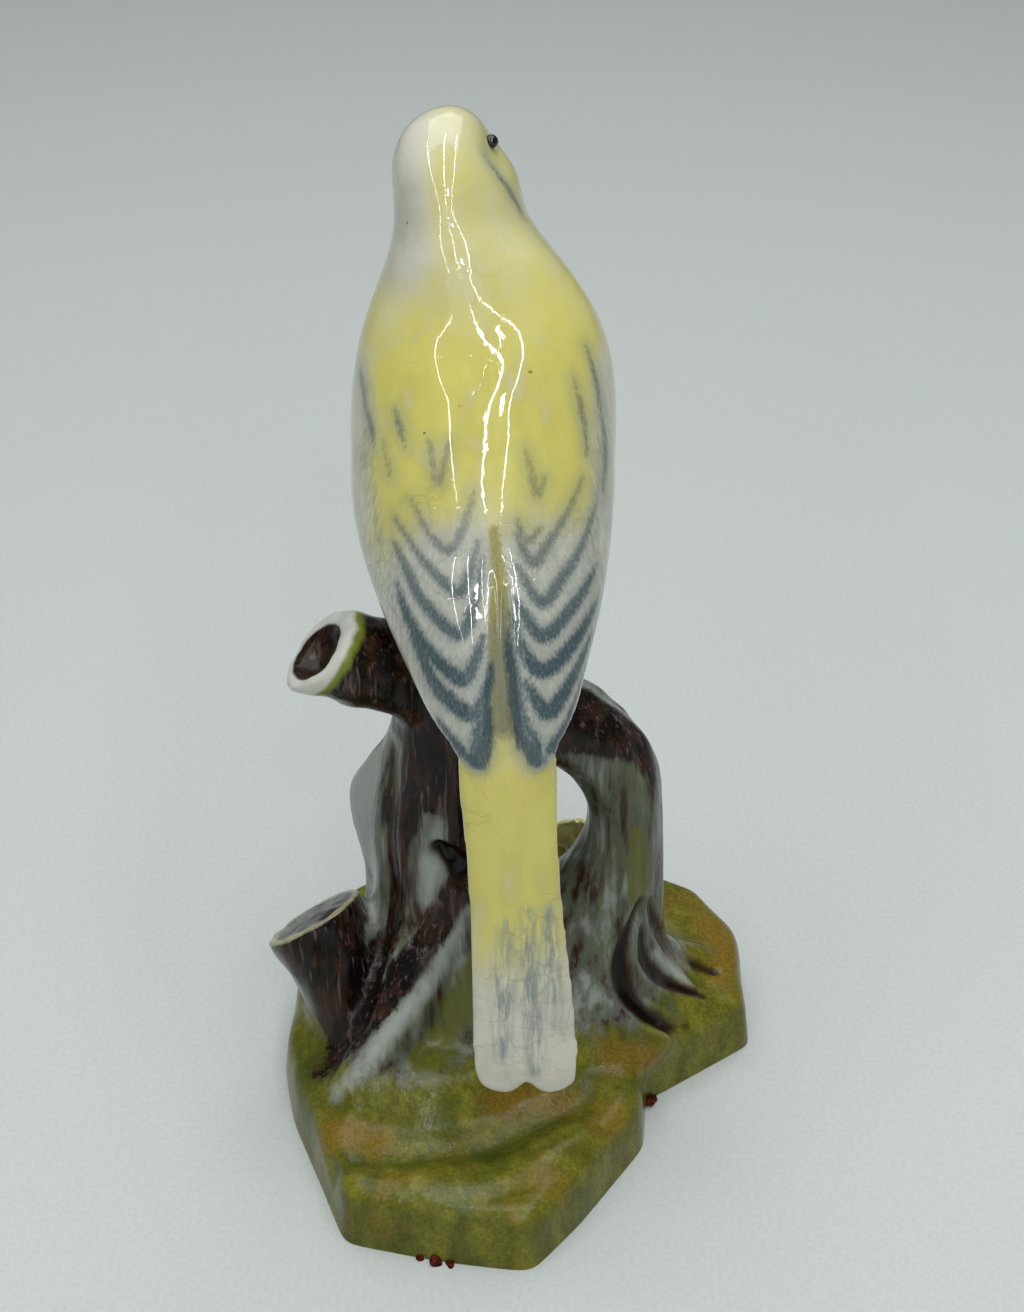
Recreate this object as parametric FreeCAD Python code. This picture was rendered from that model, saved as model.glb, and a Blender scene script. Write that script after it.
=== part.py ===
"""Porcelain budgerigar figurine: a perched bird on a hollow tree stump with an arched branch.

The figurine is modelled as the separate castings and hand-made pieces that a potter sticks together
with slip before firing. Every seam is a face that two pieces share. Units are millimetres, +Z is up,
the bird looks along +Y, and the origin lies in the middle of the flat underside.
"""
import FreeCAD, Part
import math
import os
from FreeCAD import Vector as V

# ---- driving dimensions -------------------------------------------------------------------------
WALL = 3.0                  # thickness of the cast shells
RIM_HEIGHT = 11.0           # height of the rock's outer edge
RIM_ROUND = 2.5             # rounding of that edge
FLOOR = 3.5                 # thickness of the closed underside
VENT_RADIUS = 3.5           # vent hole in the underside, which lets hot air out in the kiln
VENT_PLACE = (-14.0, 12.0)
BODY_VENT_RADIUS = 2.5      # the same between the stump and the bird
BODY_VENT_PLACE = (-4.4, 2.4, 84.0)
WING_THICKNESS = 1.3        # how far the folded wings stand proud of the back
LEAN = 30.0                 # degrees that the sections of the bird's body are tipped forward
HEAD_TURN = -22.0           # degrees that the head is turned, to the bird's right
EYE_RADIUS = 1.2
EYE_SECTION = 3             # the head section by which the eyes are placed
EYE_RISE = 1.5
EYE_AHEAD = 2.0
EYE_DEPTH = 0.9
BEAK_SECTION = 1
SECTION_POINTS = 16         # points through which each oval section runs

# ---- the bird's sections
NECK_SEAM = (-6.0, 19.0, 146.0)      # x, y and z of a point on the seam between head and body
# (y, z, middle x, half width, depth behind, depth in front), over the wings
BODY = [
    (18.8, 143.0, -5.7, 12.2, 11.0, 12.5),
    (16.5, 136.3, -4.5, 16.0, 13.0, 16.0),
    (13.8, 129.7, -4.1, 18.3, 14.8, 17.8),
    (10.5, 123.3, -4.1, 19.2, 15.5, 18.2),
    (6.5, 117.3, -4.2, 19.2, 15.5, 17.4),
    (2.0, 111.6, -4.2, 18.6, 14.6, 15.6),
    (-3.0, 106.2, -3.8, 17.3, 12.8, 13.2),
    (-8.5, 101.2, -3.1, 15.5, 10.8, 11.0),
    (-14.5, 96.6, -2.4, 13.1, 8.4, 8.6),
    (-19.5, 91.4, -1.6, 10.5, 6.2, 6.2),
    (-23.5, 87.3, -1.0, 8.4, 4.4, 4.6),
    (-25.2, 84.6, -0.8, 7.0, 3.2, 3.2),
]
# (z, middle x, middle y, half width, depth behind, depth in front), turned by HEAD_TURN
NECK = [
    (131.5, -4.4, 15.0, 14.4, 12.0, 14.8),
    (136.0, -4.8, 16.4, 14.2, 12.2, 14.6),
    (140.0, -5.2, 17.6, 13.2, 12.0, 13.8),
    (144.0, -6.4, 19.0, 10.8, 10.4, 12.2),
]
HEAD = [
    (147.5, -7.4, 20.0, 9.2, 9.4, 11.0),
    (150.5, -8.1, 20.7, 9.0, 9.2, 11.2),
    (153.5, -8.7, 21.2, 8.5, 8.7, 10.8),
    (156.5, -9.2, 21.6, 7.6, 7.9, 9.4),
    (159.0, -9.4, 21.8, 6.4, 6.5, 7.5),
    (161.0, -9.2, 21.9, 4.8, 4.8, 5.4),
    (162.4, -8.8, 22.0, 2.7, 2.7, 3.0),
    (163.0, -8.6, 22.0, 1.0, 1.0, 1.1),
]
# (y, z, middle x, half width, half thickness)
TAIL = [
    (-21.6, 90.5, -1.0, 6.4, 2.4),
    (-25.2, 84.0, -0.7, 7.1, 2.5),
    (-26.5, 78.9, -0.5, 7.0, 2.4),
    (-28.0, 71.0, 0.0, 6.8, 2.2),
    (-30.0, 57.5, 0.8, 7.1, 2.1),
    (-31.7, 43.0, 1.7, 7.8, 1.8),
    (-32.5, 34.0, 2.0, 7.9, 1.5),
    (-33.0, 28.0, 2.3, 7.4, 1.1),
]
TAIL_LEAN = 8.0                      # degrees from upright
TAIL_NOTCH = (-33.0, 28.0, 2.6)      # y, z and x of the notch in the tip
TAIL_NOTCH_DEPTH = 1.5
# The folded wing from behind, right side, as distance from the middle line and height
WING_BACK = [
    (1.0, 131.0), (7.0, 139.0), (26.0, 141.0), (26.0, 108.0), (16.0, 100.0), (12.5, 94.5),
    (10.0, 90.5), (4.6, 84.5), (2.6, 89.5), (1.2, 97.0), (0.8, 106.0), (0.6, 118.0),
]
# The same wing from the side, as y and height
WING_SIDE = [
    (18.0, 141.0), (27.0, 134.0), (27.0, 125.0), (21.0, 117.0), (13.0, 110.0), (4.0, 103.5),
    (-5.0, 98.0), (-13.0, 93.0), (-20.0, 88.5), (-27.0, 83.0), (-45.0, 83.0), (-45.0, 141.0),
]

# ---- the stump's sections -------------------------------------------------------------------------
# (z, middle x, middle y, left, right, behind (-Y), in front (+Y))
TRUNK = [
    (9.0, -8.0, 6.0, 25.0, 24.0, 25.0, 25.0),
    (15.0, -8.5, 6.0, 20.5, 20.5, 20.5, 21.0),
    (22.0, -9.0, 6.0, 16.5, 17.5, 17.0, 17.5),
    (31.0, -9.8, 6.0, 13.5, 15.0, 14.0, 15.0),
    (41.0, -10.4, 6.0, 12.2, 11.6, 12.6, 13.0),
    (52.0, -10.6, 6.0, 12.0, 10.8, 12.0, 12.0),
    (62.0, -9.8, 6.0, 10.8, 10.6, 11.2, 11.6),
    (71.0, -8.0, 6.0, 10.8, 12.0, 11.0, 12.0),
    (79.0, -6.0, 5.5, 12.5, 13.0, 11.0, 12.5),
    (85.0, -5.0, 5.0, 12.5, 12.5, 10.5, 12.5),
    (89.5, -4.6, 4.4, 10.0, 10.0, 9.0, 10.5),
    (93.5, -4.4, 3.4, 6.5, 6.5, 7.0, 7.0),
    (97.5, -4.3, 2.6, 3.0, 3.0, 3.6, 3.6),
]
# A torn flange of bark at the stump's left: (z, middle x, middle y, half across, half along)
BARK_FLANGE = [
    (20.0, -20.0, 11.0, 5.5, 4.5),
    (32.0, -20.5, 11.0, 4.2, 3.8),
    (42.0, -22.0, 11.0, 4.2, 3.6),
    (49.0, -22.6, 11.0, 4.4, 3.6),
    (57.0, -20.4, 10.6, 4.0, 3.4),
    (66.0, -16.5, 9.5, 3.4, 3.2),
]
# (x, y, z, radius) along the branch that arches from the stump's top down to the rock
ARCH = [
    (-4.0, 5.5, 72.6, 8.6),
    (3.0, 5.0, 72.2, 7.8),
    (9.5, 5.0, 69.2, 7.0),
    (14.8, 5.0, 63.8, 6.6),
    (17.8, 5.2, 56.5, 6.3),
    (18.2, 5.8, 48.5, 6.4),
    (17.2, 6.6, 40.5, 7.6),
    (15.2, 7.2, 32.0, 10.0),
    (13.4, 7.4, 23.0, 13.2),
    (12.4, 7.0, 14.0, 17.6),
    (12.0, 7.0, 9.0, 20.0),
]
# (x, y, z, radius) along the sawn branch at the upper left
UPPER_STUB = [
    (-6.0, 4.5, 76.5, 8.0),
    (-13.0, 2.6, 80.0, 7.4),
    (-20.0, 0.6, 83.6, 7.0),
    (-27.0, -1.2, 87.2, 7.2),
    (-35.0, -3.2, 91.2, 7.4),
]
UPPER_CUT_POINT = (-29.2, -1.8, 88.2)
UPPER_CUT_NORMAL = (-0.70, -0.08, 0.71)
UPPER_SOCKET_RADIUS = 5.0
UPPER_SOCKET_DEPTH = 3.2
# (x, y, z, radius) along the torn limb at the lower left
LOWER_STUB = [
    (-22.0, 1.0, 6.0, 14.5),
    (-24.0, 1.0, 14.0, 11.5),
    (-27.0, 0.8, 21.0, 9.2),
    (-30.5, 0.6, 28.0, 8.6),
    (-33.5, 0.4, 35.0, 8.6),
    (-36.0, 0.2, 42.0, 8.6),
]
LOWER_CUT_POINT = (-32.5, 0.6, 33.3)
LOWER_CUT_NORMAL = (-0.50, 0.40, 0.77)
# The roots: start, end, start radius, end radius
ARCH_ROOTS = [
    ((17.0, 8.0, 20.0), (34.0, 15.0, 10.0), 7.5, 3.0),
    ((17.0, 4.0, 20.0), (32.0, 4.0, 10.0), 7.5, 3.0),
    ((15.0, 1.0, 20.0), (25.0, -8.0, 10.0), 7.5, 3.0),
]
TRUNK_ROOTS = [
    ((-11.0, -2.0, 36.0), (-27.0, -19.0, 11.0), 6.0, 4.0),
]

# ---- the rock: outline at the underside, and the outline of the higher ground ---------------------
ROCK_OUTLINE = [
    (-26.5, -39.5), (-11.0, -43.2), (3.0, -45.2), (11.0, -35.5), (21.8, -19.5), (22.8, -9.0),
    (41.6, 4.6), (40.8, 24.0), (34.6, 35.6), (25.0, 40.8), (8.0, 46.0), (-13.0, 44.6),
    (-30.0, 36.0), (-38.0, 17.0), (-38.8, -4.0), (-36.6, -14.0), (-30.6, -29.0),
]
ROCK_CORNER_ROUND = 3.0
ROCK_DRAFT = 1.2
GROUND_LOW = [
    (-31.0, -29.5), (-16.0, -31.0), (-4.0, -29.0), (12.0, -17.5), (20.0, -6.0), (36.0, 6.0),
    (35.6, 22.0), (30.0, 31.0), (20.0, 36.0), (6.0, 40.0), (-12.0, 39.0), (-26.0, 31.5),
    (-34.0, 16.0), (-35.0, -3.0), (-33.5, -14.0),
]
GROUND_LOW_Z = RIM_HEIGHT - 3.0
GROUND_HIGH_Z = 17.0
GROUND_HIGH_SHARE = 0.66
GROUND_MIDDLE = (-2.0, 5.0)

# ---- the applied flower and its leaves, at the front -----------------------------------------------
FLOWER_MIDDLE = (11.5, 27.5, 23.5)
FLOWER_FACES = (0.20, 0.88, 0.43)
PETAL_COUNT = 5
PETAL_LENGTH = 8.6
PETAL_WIDTH = 7.6
PETAL_THICKNESS = 1.1
PETAL_CUP = 24.0
FLOWER_EYE_RADIUS = 2.1
CALYX_LENGTH = 9.0
CALYX_RADII = (1.4, 3.0)
LEAVES = {                      # name: (root, direction, length, width)
    "leaf_right": ((15.0, 21.0, 15.0), (0.55, 0.82, 0.02), 18.0, 9.0),
    "leaf_left": ((4.0, 23.0, 15.0), (-0.86, 0.46, 0.10), 18.0, 8.5),
    "leaf_upper": ((1.0, 18.5, 24.0), (-0.30, 0.50, 0.80), 15.0, 7.5),
}
LEAF_THICKNESS = 1.3

# ---- feet, eyes and putty ---------------------------------------------------------------------------
FEET_X = {"left_foot": -9.6, "right_foot": 1.4}
SHANK_TOP = (4.0, 104.0)        # y and z where a shank enters the body
FOOT_Y = 9.4
ANKLE_Z = 91.2
TOES = [(-2.4, 8.0, -4.6), (2.2, 8.4, -4.8), (-2.0, -6.0, -1.0), (2.0, -6.0, -1.0)]
PUTTY = [(22.9, -9.6, 1.1, 2.4), (-11.8, -43.2, 1.3, 1.3)]      # x, y, half length, height


def oval(centre, across, ahead, left, right, behind, front):
    """A smooth closed wire: four quarter ellipses about centre, in the plane of across and ahead."""
    points = []
    for i in range(SECTION_POINTS):
        t = 2 * math.pi * i / SECTION_POINTS
        c, s = math.cos(t), math.sin(t)
        x = c * (right if c > 0 else left)
        y = s * (front if s > 0 else behind)
        points.append(centre + across * x + ahead * y)
    curve = Part.BSplineCurve()
    curve.interpolate(Points=points, PeriodicFlag=True)
    return Part.Wire([curve.toShape()])


def loft(wires):
    """A closed solid through the wires."""
    return solid_of(Part.makeLoft(wires, True, False))


def solid_of(shape):
    """The shape's largest solid, turned the right way out."""
    best = max(shape.Solids, key=lambda s: abs(s.Volume))
    if best.Volume < 0:
        best = best.reversed()
    return best


def unit(vector):
    return V(*vector).normalize()


def flat_ring(z, x, y, left, right, behind, front, turn=0.0):
    """A level oval section, turned about the vertical."""
    a = math.radians(turn)
    across = V(math.cos(a), math.sin(a), 0)
    ahead = V(-math.sin(a), math.cos(a), 0)
    return oval(V(x, y, z), across, ahead, left, right, behind, front)


def back_ring(y, z, x, half_width, behind, front, lean=LEAN):
    """A section square to the bird's leaning back."""
    a = math.radians(lean)
    ahead = V(0, math.cos(a), -math.sin(a))
    return oval(V(x, y, z), V(1, 0, 0), ahead, half_width, half_width, behind, front)


def limb(stations, shrink=0.0):
    """A branch of round sections along a curved middle line."""
    centres = [V(*s[:3]) for s in stations]
    wires = []
    for i, station in enumerate(stations):
        before = centres[max(i - 1, 0)]
        after = centres[min(i + 1, len(centres) - 1)]
        along = (after - before).normalize()
        across = V(0, 1, 0).cross(along).normalize()
        ahead = along.cross(across).normalize()
        radius = station[3] - shrink
        wires.append(oval(centres[i], across, ahead, radius, radius, radius, radius))
    return loft(wires)


def prism(outline, place, reach):
    """A solid between two copies of a closed outline; place(a, b) gives a corner, reach the way across."""
    corners = [place(*p) for p in outline]
    wire = Part.makePolygon(corners + [corners[0]])
    return Part.Face(wire).extrude(reach)


def beyond(point, normal, size=80.0):
    """A large block on the far side of a plane."""
    block = Part.makeBox(size, size, size, V(-size / 2, -size / 2, 0))
    block.Placement = FreeCAD.Placement(V(*point), FreeCAD.Rotation(V(0, 0, 1), unit(normal)))
    return block


# ---- the bird -----------------------------------------------------------------------------------
def under_wing(z):
    """How far the body lies below the outer sections at height z: nothing at the shoulders' top."""
    share = (BODY[0][1] - z) / (BODY[0][1] - BODY[3][1])
    return WING_THICKNESS * min(max(share, 0.0), 1.0)


def body_form(shrink=0.0, rows=BODY):
    """The body under its wings, made thinner all round by shrink."""
    wires = []
    for y, z, x, w, b, f in rows:
        less = shrink + under_wing(z)
        wires.append(back_ring(y, z, x, w - less, b - less, f - less))
    return loft(wires)


def back_form():
    """The body with the folded wings on it."""
    return loft([back_ring(*row) for row in BODY])


def head_form(shrink=0.0, rows=NECK + HEAD):
    return loft([flat_ring(z, x, y, w - shrink, w - shrink, b - shrink, f - shrink, HEAD_TURN)
                 for z, x, y, w, b, f in rows])


def above_neck():
    return beyond(NECK_SEAM, (0.0, 0.12, 0.99))


def head_casting():
    return solid_of(head_form().common(above_neck()).cut(head_form(WALL, NECK + HEAD[:5])))


def body_solid():
    """Body and neck in one, up to the seam below the head."""
    return solid_of(body_form().fuse(head_form(0.0, NECK + HEAD[:2])).cut(above_neck()))


def body_casting(vent):
    cavity = body_form(WALL, BODY[1:9]).fuse(head_form(WALL, NECK + HEAD[:2]))
    return solid_of(body_solid().cut(cavity).cut(vent))


def wing(side, body):
    """One folded wing: a thin shell that lies on the back, pointed at its tip."""
    outline = prism(WING_BACK, lambda a, z: V(middle_line(z) + side * a, -60.0, z), V(0, 100, 0))
    profile = prism(WING_SIDE, lambda y, z: V(-50.0, y, z), V(100, 0, 0))
    shell = back_form().cut(body).cut(head_form(0.0, NECK + HEAD[:2]))
    return solid_of(shell.common(outline).common(profile))


def middle_line(z):
    """x of the back's middle line at height z."""
    rows = sorted(BODY, key=lambda r: r[1])
    for low, high in zip(rows, rows[1:]):
        if low[1] <= z <= high[1]:
            share = (z - low[1]) / (high[1] - low[1])
            return low[2] + share * (high[2] - low[2])
    return rows[0][2] if z < rows[0][1] else rows[-1][2]


def tail_form():
    wires = [back_ring(y, z, x, w, t, t, TAIL_LEAN) for y, z, x, w, t in TAIL]
    slab = loft(wires)
    y, z, x = TAIL_NOTCH
    notch = Part.makeCone(TAIL_NOTCH_DEPTH, 0.3, TAIL_NOTCH_DEPTH * 1.6, V(x, y, z - 0.6))
    return solid_of(slab.cut(notch))


def head_ways():
    """The turned head's sideways and forward directions."""
    a = math.radians(HEAD_TURN)
    return V(math.cos(a), math.sin(a), 0), V(-math.sin(a), math.cos(a), 0)


def eyes(head):
    """Two beads, on the sides of the turned head."""
    z, x, y, w = HEAD[EYE_SECTION][:4]
    across, ahead = head_ways()
    middle = V(x, y, z + EYE_RISE) + ahead * EYE_AHEAD
    beads = [Part.makeSphere(EYE_RADIUS, middle + across * side * (w - EYE_DEPTH)) for side in (-1, 1)]
    return Part.makeCompound([solid_of(bead.cut(head)) for bead in beads])


def beak(head):
    """A short hooked beak with its cere, low on the face."""
    z, x, y, w, b, f = HEAD[BEAK_SECTION]
    across, ahead = head_ways()
    root = V(x, y, z) + ahead * (f - 2.4)
    rows = [(0.0, 3.2, 3.1, 3.0), (1.8, 2.4, 2.9, 2.8), (3.4, 1.0, 2.2, 2.1), (4.2, -1.2, 1.5, 1.4),
            (4.3, -3.0, 0.8, 0.7), (4.1, -4.2, 0.3, 0.3)]
    wires = []
    for i, (out, up, half, thick) in enumerate(rows):
        before, after = rows[max(i - 1, 0)], rows[min(i + 1, len(rows) - 1)]
        along = (ahead * (after[0] - before[0]) + V(0, 0, after[1] - before[1])).normalize()
        centre = root + ahead * out + V(0, 0, up)
        wires.append(oval(centre, across, along.cross(across), half, half, thick, thick))
    return solid_of(loft(wires).cut(head))


def foot(x, taken):
    """A short shank and four toes, two ahead and two behind, that grip the stump's top."""
    ankle = V(x, FOOT_Y, ANKLE_Z)
    pieces = [tapered_rod(V(x, *SHANK_TOP), ankle, 2.6, 1.7), Part.makeSphere(1.7, ankle)]
    for spread, reach, drop in TOES:
        knuckle = ankle + V(spread * 0.7, reach * 0.62, 0.6 if reach > 0 else -0.2)
        pieces.append(tapered_rod(ankle, knuckle, 1.6, 1.35))
        pieces.append(Part.makeSphere(1.35, knuckle))
        pieces.append(tapered_rod(knuckle, ankle + V(spread, reach, drop), 1.35, 0.7))
    return solid_of(pieces[0].multiFuse(pieces[1:]).cut(taken))


def tapered_rod(start, end, r_start, r_end):
    way = end - start
    return Part.makeCone(r_start, r_end, way.Length, start, way)


# ---- the stump and the rock -----------------------------------------------------------------------
def trunk_form(shrink=0.0, rows=TRUNK):
    return loft([flat_ring(z, x, y, l - shrink, r - shrink, b - shrink, f - shrink)
                 for z, x, y, l, r, b, f in rows])


def flange_form():
    return loft([flat_ring(z, x, y, a, a, b, b, turn=-35.0) for z, x, y, a, b in BARK_FLANGE])


def upper_stub_form():
    stub = limb(UPPER_STUB).cut(beyond(UPPER_CUT_POINT, UPPER_CUT_NORMAL))
    out = unit(UPPER_CUT_NORMAL)
    floor = V(*UPPER_CUT_POINT) - out * UPPER_SOCKET_DEPTH
    narrow, wide = UPPER_SOCKET_RADIUS * 0.6, UPPER_SOCKET_RADIUS * 1.1
    socket = Part.makeCone(narrow, wide, UPPER_SOCKET_DEPTH * 1.3, floor, out)
    return solid_of(stub.cut(socket))


def lower_stub_form():
    return solid_of(limb(LOWER_STUB).cut(beyond(LOWER_CUT_POINT, LOWER_CUT_NORMAL)))


def closed_polygon(points, z):
    corners = [V(x, y, z) for x, y in points]
    return Part.makePolygon(corners + [corners[0]])


def inset(points, distance):
    """The outline drawn in towards the rock's middle by about distance."""
    cx, cy = GROUND_MIDDLE
    moved = []
    for x, y in points:
        d = math.hypot(x - cx, y - cy)
        moved.append((cx + (x - cx) * (1 - distance / d), cy + (y - cy) * (1 - distance / d)))
    return moved


def rock_form():
    """A faceted plate with a higher, sloping ground on it, and the roots that run out on it."""
    plate = Part.makeLoft([closed_polygon(ROCK_OUTLINE, 0.0),
                           closed_polygon(inset(ROCK_OUTLINE, ROCK_DRAFT), RIM_HEIGHT)], True, True)
    upright = [e for e in plate.Edges if abs(e.Vertexes[0].Z - e.Vertexes[-1].Z) > RIM_HEIGHT / 2]
    plate = plate.makeFillet(ROCK_CORNER_ROUND, upright)
    rim = [e for e in plate.Edges if min(v.Z for v in e.Vertexes) > RIM_HEIGHT - 0.01]
    plate = plate.makeFillet(RIM_ROUND, rim)
    cx, cy = GROUND_MIDDLE
    high = [(cx + (x - cx) * GROUND_HIGH_SHARE, cy + (y - cy) * GROUND_HIGH_SHARE) for x, y in GROUND_LOW]
    low_edge = closed_polygon(GROUND_LOW, GROUND_LOW_Z)
    ground = Part.makeLoft([low_edge, closed_polygon(high, GROUND_HIGH_Z)], True, True)
    return solid_of(plate.fuse(ground))


def root(start, end, r_start, r_end):
    """A root that sags a little between its ends."""
    middle = (V(*start) + V(*end)) * 0.5 + V(0, 0, -1.6)
    return limb([(*start, r_start), (*middle, (r_start + r_end) * 0.5), (*end, r_end)])


def rock_casting():
    cavity = Part.makeLoft([closed_polygon(inset(ROCK_OUTLINE, 6.5), FLOOR),
                            closed_polygon(inset(ROCK_OUTLINE, 12.0), RIM_HEIGHT - 2.0)], True, True)
    throat = trunk_form(WALL + 6.0, TRUNK[:4])
    vent = Part.makeCylinder(VENT_RADIUS, 2 * FLOOR, V(*VENT_PLACE, -1.0))
    return solid_of(rock_form().cut(cavity).cut(throat).cut(vent))


def with_roots(form, roots):
    return solid_of(form.multiFuse([root(*facts) for facts in roots]))


# ---- flowers, leaves and putty ----------------------------------------------------------------------
def flower_frame():
    out = unit(FLOWER_FACES)
    side = V(0, 0, 1).cross(out).normalize()
    return V(*FLOWER_MIDDLE), out, side, out.cross(side).normalize()


def petal(index):
    """A broad notched petal, standing out from the flower's eye and cupped forward."""
    middle, out, side, up = flower_frame()
    length, half = PETAL_LENGTH, PETAL_WIDTH / 2
    inner = FLOWER_EYE_RADIUS * 0.9
    belly, tip, notch = inner + length * 0.45, inner + length * 0.92, inner + length * 0.9
    edge = [V(inner, 0.9, 0), V(belly, half, 0), V(tip, half * 0.62, 0), V(notch, 0, 0),
            V(tip, -half * 0.62, 0), V(belly, -half, 0), V(inner, -0.9, 0)]
    outline = Part.BSplineCurve()
    outline.interpolate(Points=edge, PeriodicFlag=True)
    slab = Part.Face(Part.Wire([outline.toShape()])).extrude(V(0, 0, PETAL_THICKNESS))
    slab.rotate(V(inner, 0, 0), V(0, 1, 0), -PETAL_CUP)
    slab.rotate(V(0, 0, 0), V(0, 0, 1), 90.0 + 360.0 * index / PETAL_COUNT)
    turn = FreeCAD.Rotation(FreeCAD.Matrix(side.x, up.x, out.x, 0, side.y, up.y, out.y, 0,
                                           side.z, up.z, out.z, 0, 0, 0, 0, 1))
    slab.Placement = FreeCAD.Placement(middle, turn).multiply(slab.Placement)
    return slab


def flower_pieces(stump):
    middle, out, _, _ = flower_frame()
    eye = Part.makeSphere(FLOWER_EYE_RADIUS, middle + out * 0.4)
    cone = Part.makeCone(*CALYX_RADII, CALYX_LENGTH - 0.5, middle - out * CALYX_LENGTH, out)
    calyx = solid_of(cone.cut(eye).cut(stump))
    petals = []
    for i in range(PETAL_COUNT):
        one = petal(i).cut(eye).cut(calyx)
        for other in petals:
            one = one.cut(other)
        petals.append(solid_of(one))
    return eye, calyx, Part.makeCompound(petals)


def leaf(root, direction, length, width):
    """A pointed leaf with a slight fold along its rib."""
    along = unit(direction)
    across = along.cross(V(0, 0, 1) if abs(along.z) < 0.8 else V(0, 1, 0)).normalize()
    up = across.cross(along).normalize()
    wires = []
    for share, half in ((0.0, 0.22), (0.18, 0.62), (0.42, 1.0), (0.66, 0.82), (0.86, 0.42), (1.0, 0.08)):
        arch = math.sin(math.pi * share) * length * 0.10
        centre = V(*root) + along * (length * share) + up * arch
        side, thin = width * half / 2, LEAF_THICKNESS / 2
        wires.append(oval(centre, across, up, side, side, thin, thin))
    return loft(wires)


def putty_flakes(rock):
    flakes = []
    for x, y, half, height in PUTTY:
        flake = Part.makeCone(half, half * 0.45, height, V(x, y, 0))
        flakes.append(solid_of(flake.cut(rock)))
    return Part.makeCompound(flakes)


def bird_nodes(nodes, vent):
    body = body_solid()
    head = head_form()
    nodes["bird_body"] = body_casting(vent)
    nodes["bird_head"] = head_casting()
    nodes["left_wing"] = wing(-1, body)
    nodes["right_wing"] = wing(1, body)
    bird = body.multiFuse([nodes["left_wing"], nodes["right_wing"]])
    nodes["bird_tail"] = solid_of(tail_form().cut(bird))
    nodes["eye_beads"] = eyes(head)
    nodes["beak"] = beak(head)
    return bird


def stump_nodes(nodes, vent, bird):
    """The rock and the wood, each cut away where the one before it lies; returns them all in one."""
    rock = rock_form()
    lower = lower_stub_form()
    trunk = with_roots(trunk_form().fuse(flange_form()), TRUNK_ROOTS)
    arch = with_roots(limb(ARCH), ARCH_ROOTS)
    nodes["rock_base"] = rock_casting()
    cavity = trunk_form(WALL + 0.5, TRUNK[:10])
    nodes["stump_trunk"] = solid_of(trunk.cut(cavity).cut(rock).cut(bird).cut(vent))
    nodes["arched_branch"] = solid_of(arch.cut(trunk).cut(rock).cut(bird))
    nodes["upper_branch_stub"] = solid_of(upper_stub_form().cut(trunk).cut(bird).cut(arch))
    nodes["lower_branch_stub"] = solid_of(lower.cut(trunk).cut(rock))
    return trunk.multiFuse([arch, rock, lower])


def spray_nodes(nodes, taken):
    """The flower and its leaves, each cut away where the one before it lies."""
    eye, calyx, petals = flower_pieces(taken)
    nodes["flower_eye"], nodes["flower_calyx"], nodes["flower_petals"] = eye, calyx, petals
    taken = taken.multiFuse([eye, calyx] + petals.Solids)
    for name, facts in LEAVES.items():
        nodes[name] = solid_of(leaf(*facts).cut(taken))
        taken = taken.fuse(nodes[name])


def build():
    nodes = {}
    vent = Part.makeCylinder(BODY_VENT_RADIUS, 30.0, V(*BODY_VENT_PLACE))
    bird = bird_nodes(nodes, vent)
    stump = stump_nodes(nodes, vent, bird)
    for name, x in FEET_X.items():
        nodes[name] = foot(x, bird.fuse(stump))
    spray_nodes(nodes, stump)
    nodes["putty_flakes"] = putty_flakes(rock_form())
    return nodes


def main():
    os.makedirs("parts", exist_ok=True)
    for name, shape in build().items():
        shape.exportStep(os.path.join("parts", name + ".step"))
        print(f"{name:20s} solids {len(shape.Solids)} valid {shape.isValid()} volume {shape.Volume:9.1f}")


main()
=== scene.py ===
"""A glazed porcelain budgerigar on a tree stump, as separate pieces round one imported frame."""
import math

import bpy
import numpy as np
from bpy.props import FloatProperty, FloatVectorProperty, PointerProperty
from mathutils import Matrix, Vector, noise


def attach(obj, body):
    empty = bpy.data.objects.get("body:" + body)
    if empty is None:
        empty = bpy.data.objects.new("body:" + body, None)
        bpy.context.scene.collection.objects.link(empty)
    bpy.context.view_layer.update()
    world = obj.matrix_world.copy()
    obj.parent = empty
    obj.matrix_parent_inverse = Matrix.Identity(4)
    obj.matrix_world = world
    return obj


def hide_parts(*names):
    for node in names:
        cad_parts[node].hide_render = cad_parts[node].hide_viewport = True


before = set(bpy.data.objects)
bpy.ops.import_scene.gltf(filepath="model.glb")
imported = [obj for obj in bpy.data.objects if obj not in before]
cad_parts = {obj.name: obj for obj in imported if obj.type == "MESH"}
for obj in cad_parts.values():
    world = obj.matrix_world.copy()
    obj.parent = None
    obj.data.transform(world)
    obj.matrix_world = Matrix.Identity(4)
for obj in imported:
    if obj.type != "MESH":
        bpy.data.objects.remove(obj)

bl_info = {
    "name": "Porcelain Budgerigar",
    "version": (1, 0, 0),
    "blender": (4, 5, 0),
    "location": "View3D > Sidebar > Figurine",
    "description": "Builds a glazed porcelain budgerigar on a tree stump",
    "category": "Object",
}
MM = 0.001

# ---- shapes, in millimetres ---------------------------------------------------------------------
BIRD_NODES = ("bird_body", "bird_head", "left_wing", "right_wing", "bird_tail")
STUMP_NODES = ("rock_base", "stump_trunk", "arched_branch", "upper_branch_stub", "lower_branch_stub")
BIRD_PLUG = (-4.4, 2.4, 98.2, 3.6)              # x, y, z, radius of the ball that closes the vent
STUMP_PLUG = (-4.4, 2.4, 93.6, 3.6)
BASE_PLUG = (-14.0, 12.0, 1.0, 5.0)
NECK_CUT = ((-6.0, 19.0, 146.0), (0.0, 0.12, 0.99))
TAIL_CUT = ((0.0, -25.4, 84.2), (0.0, 0.45, 0.89))


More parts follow.
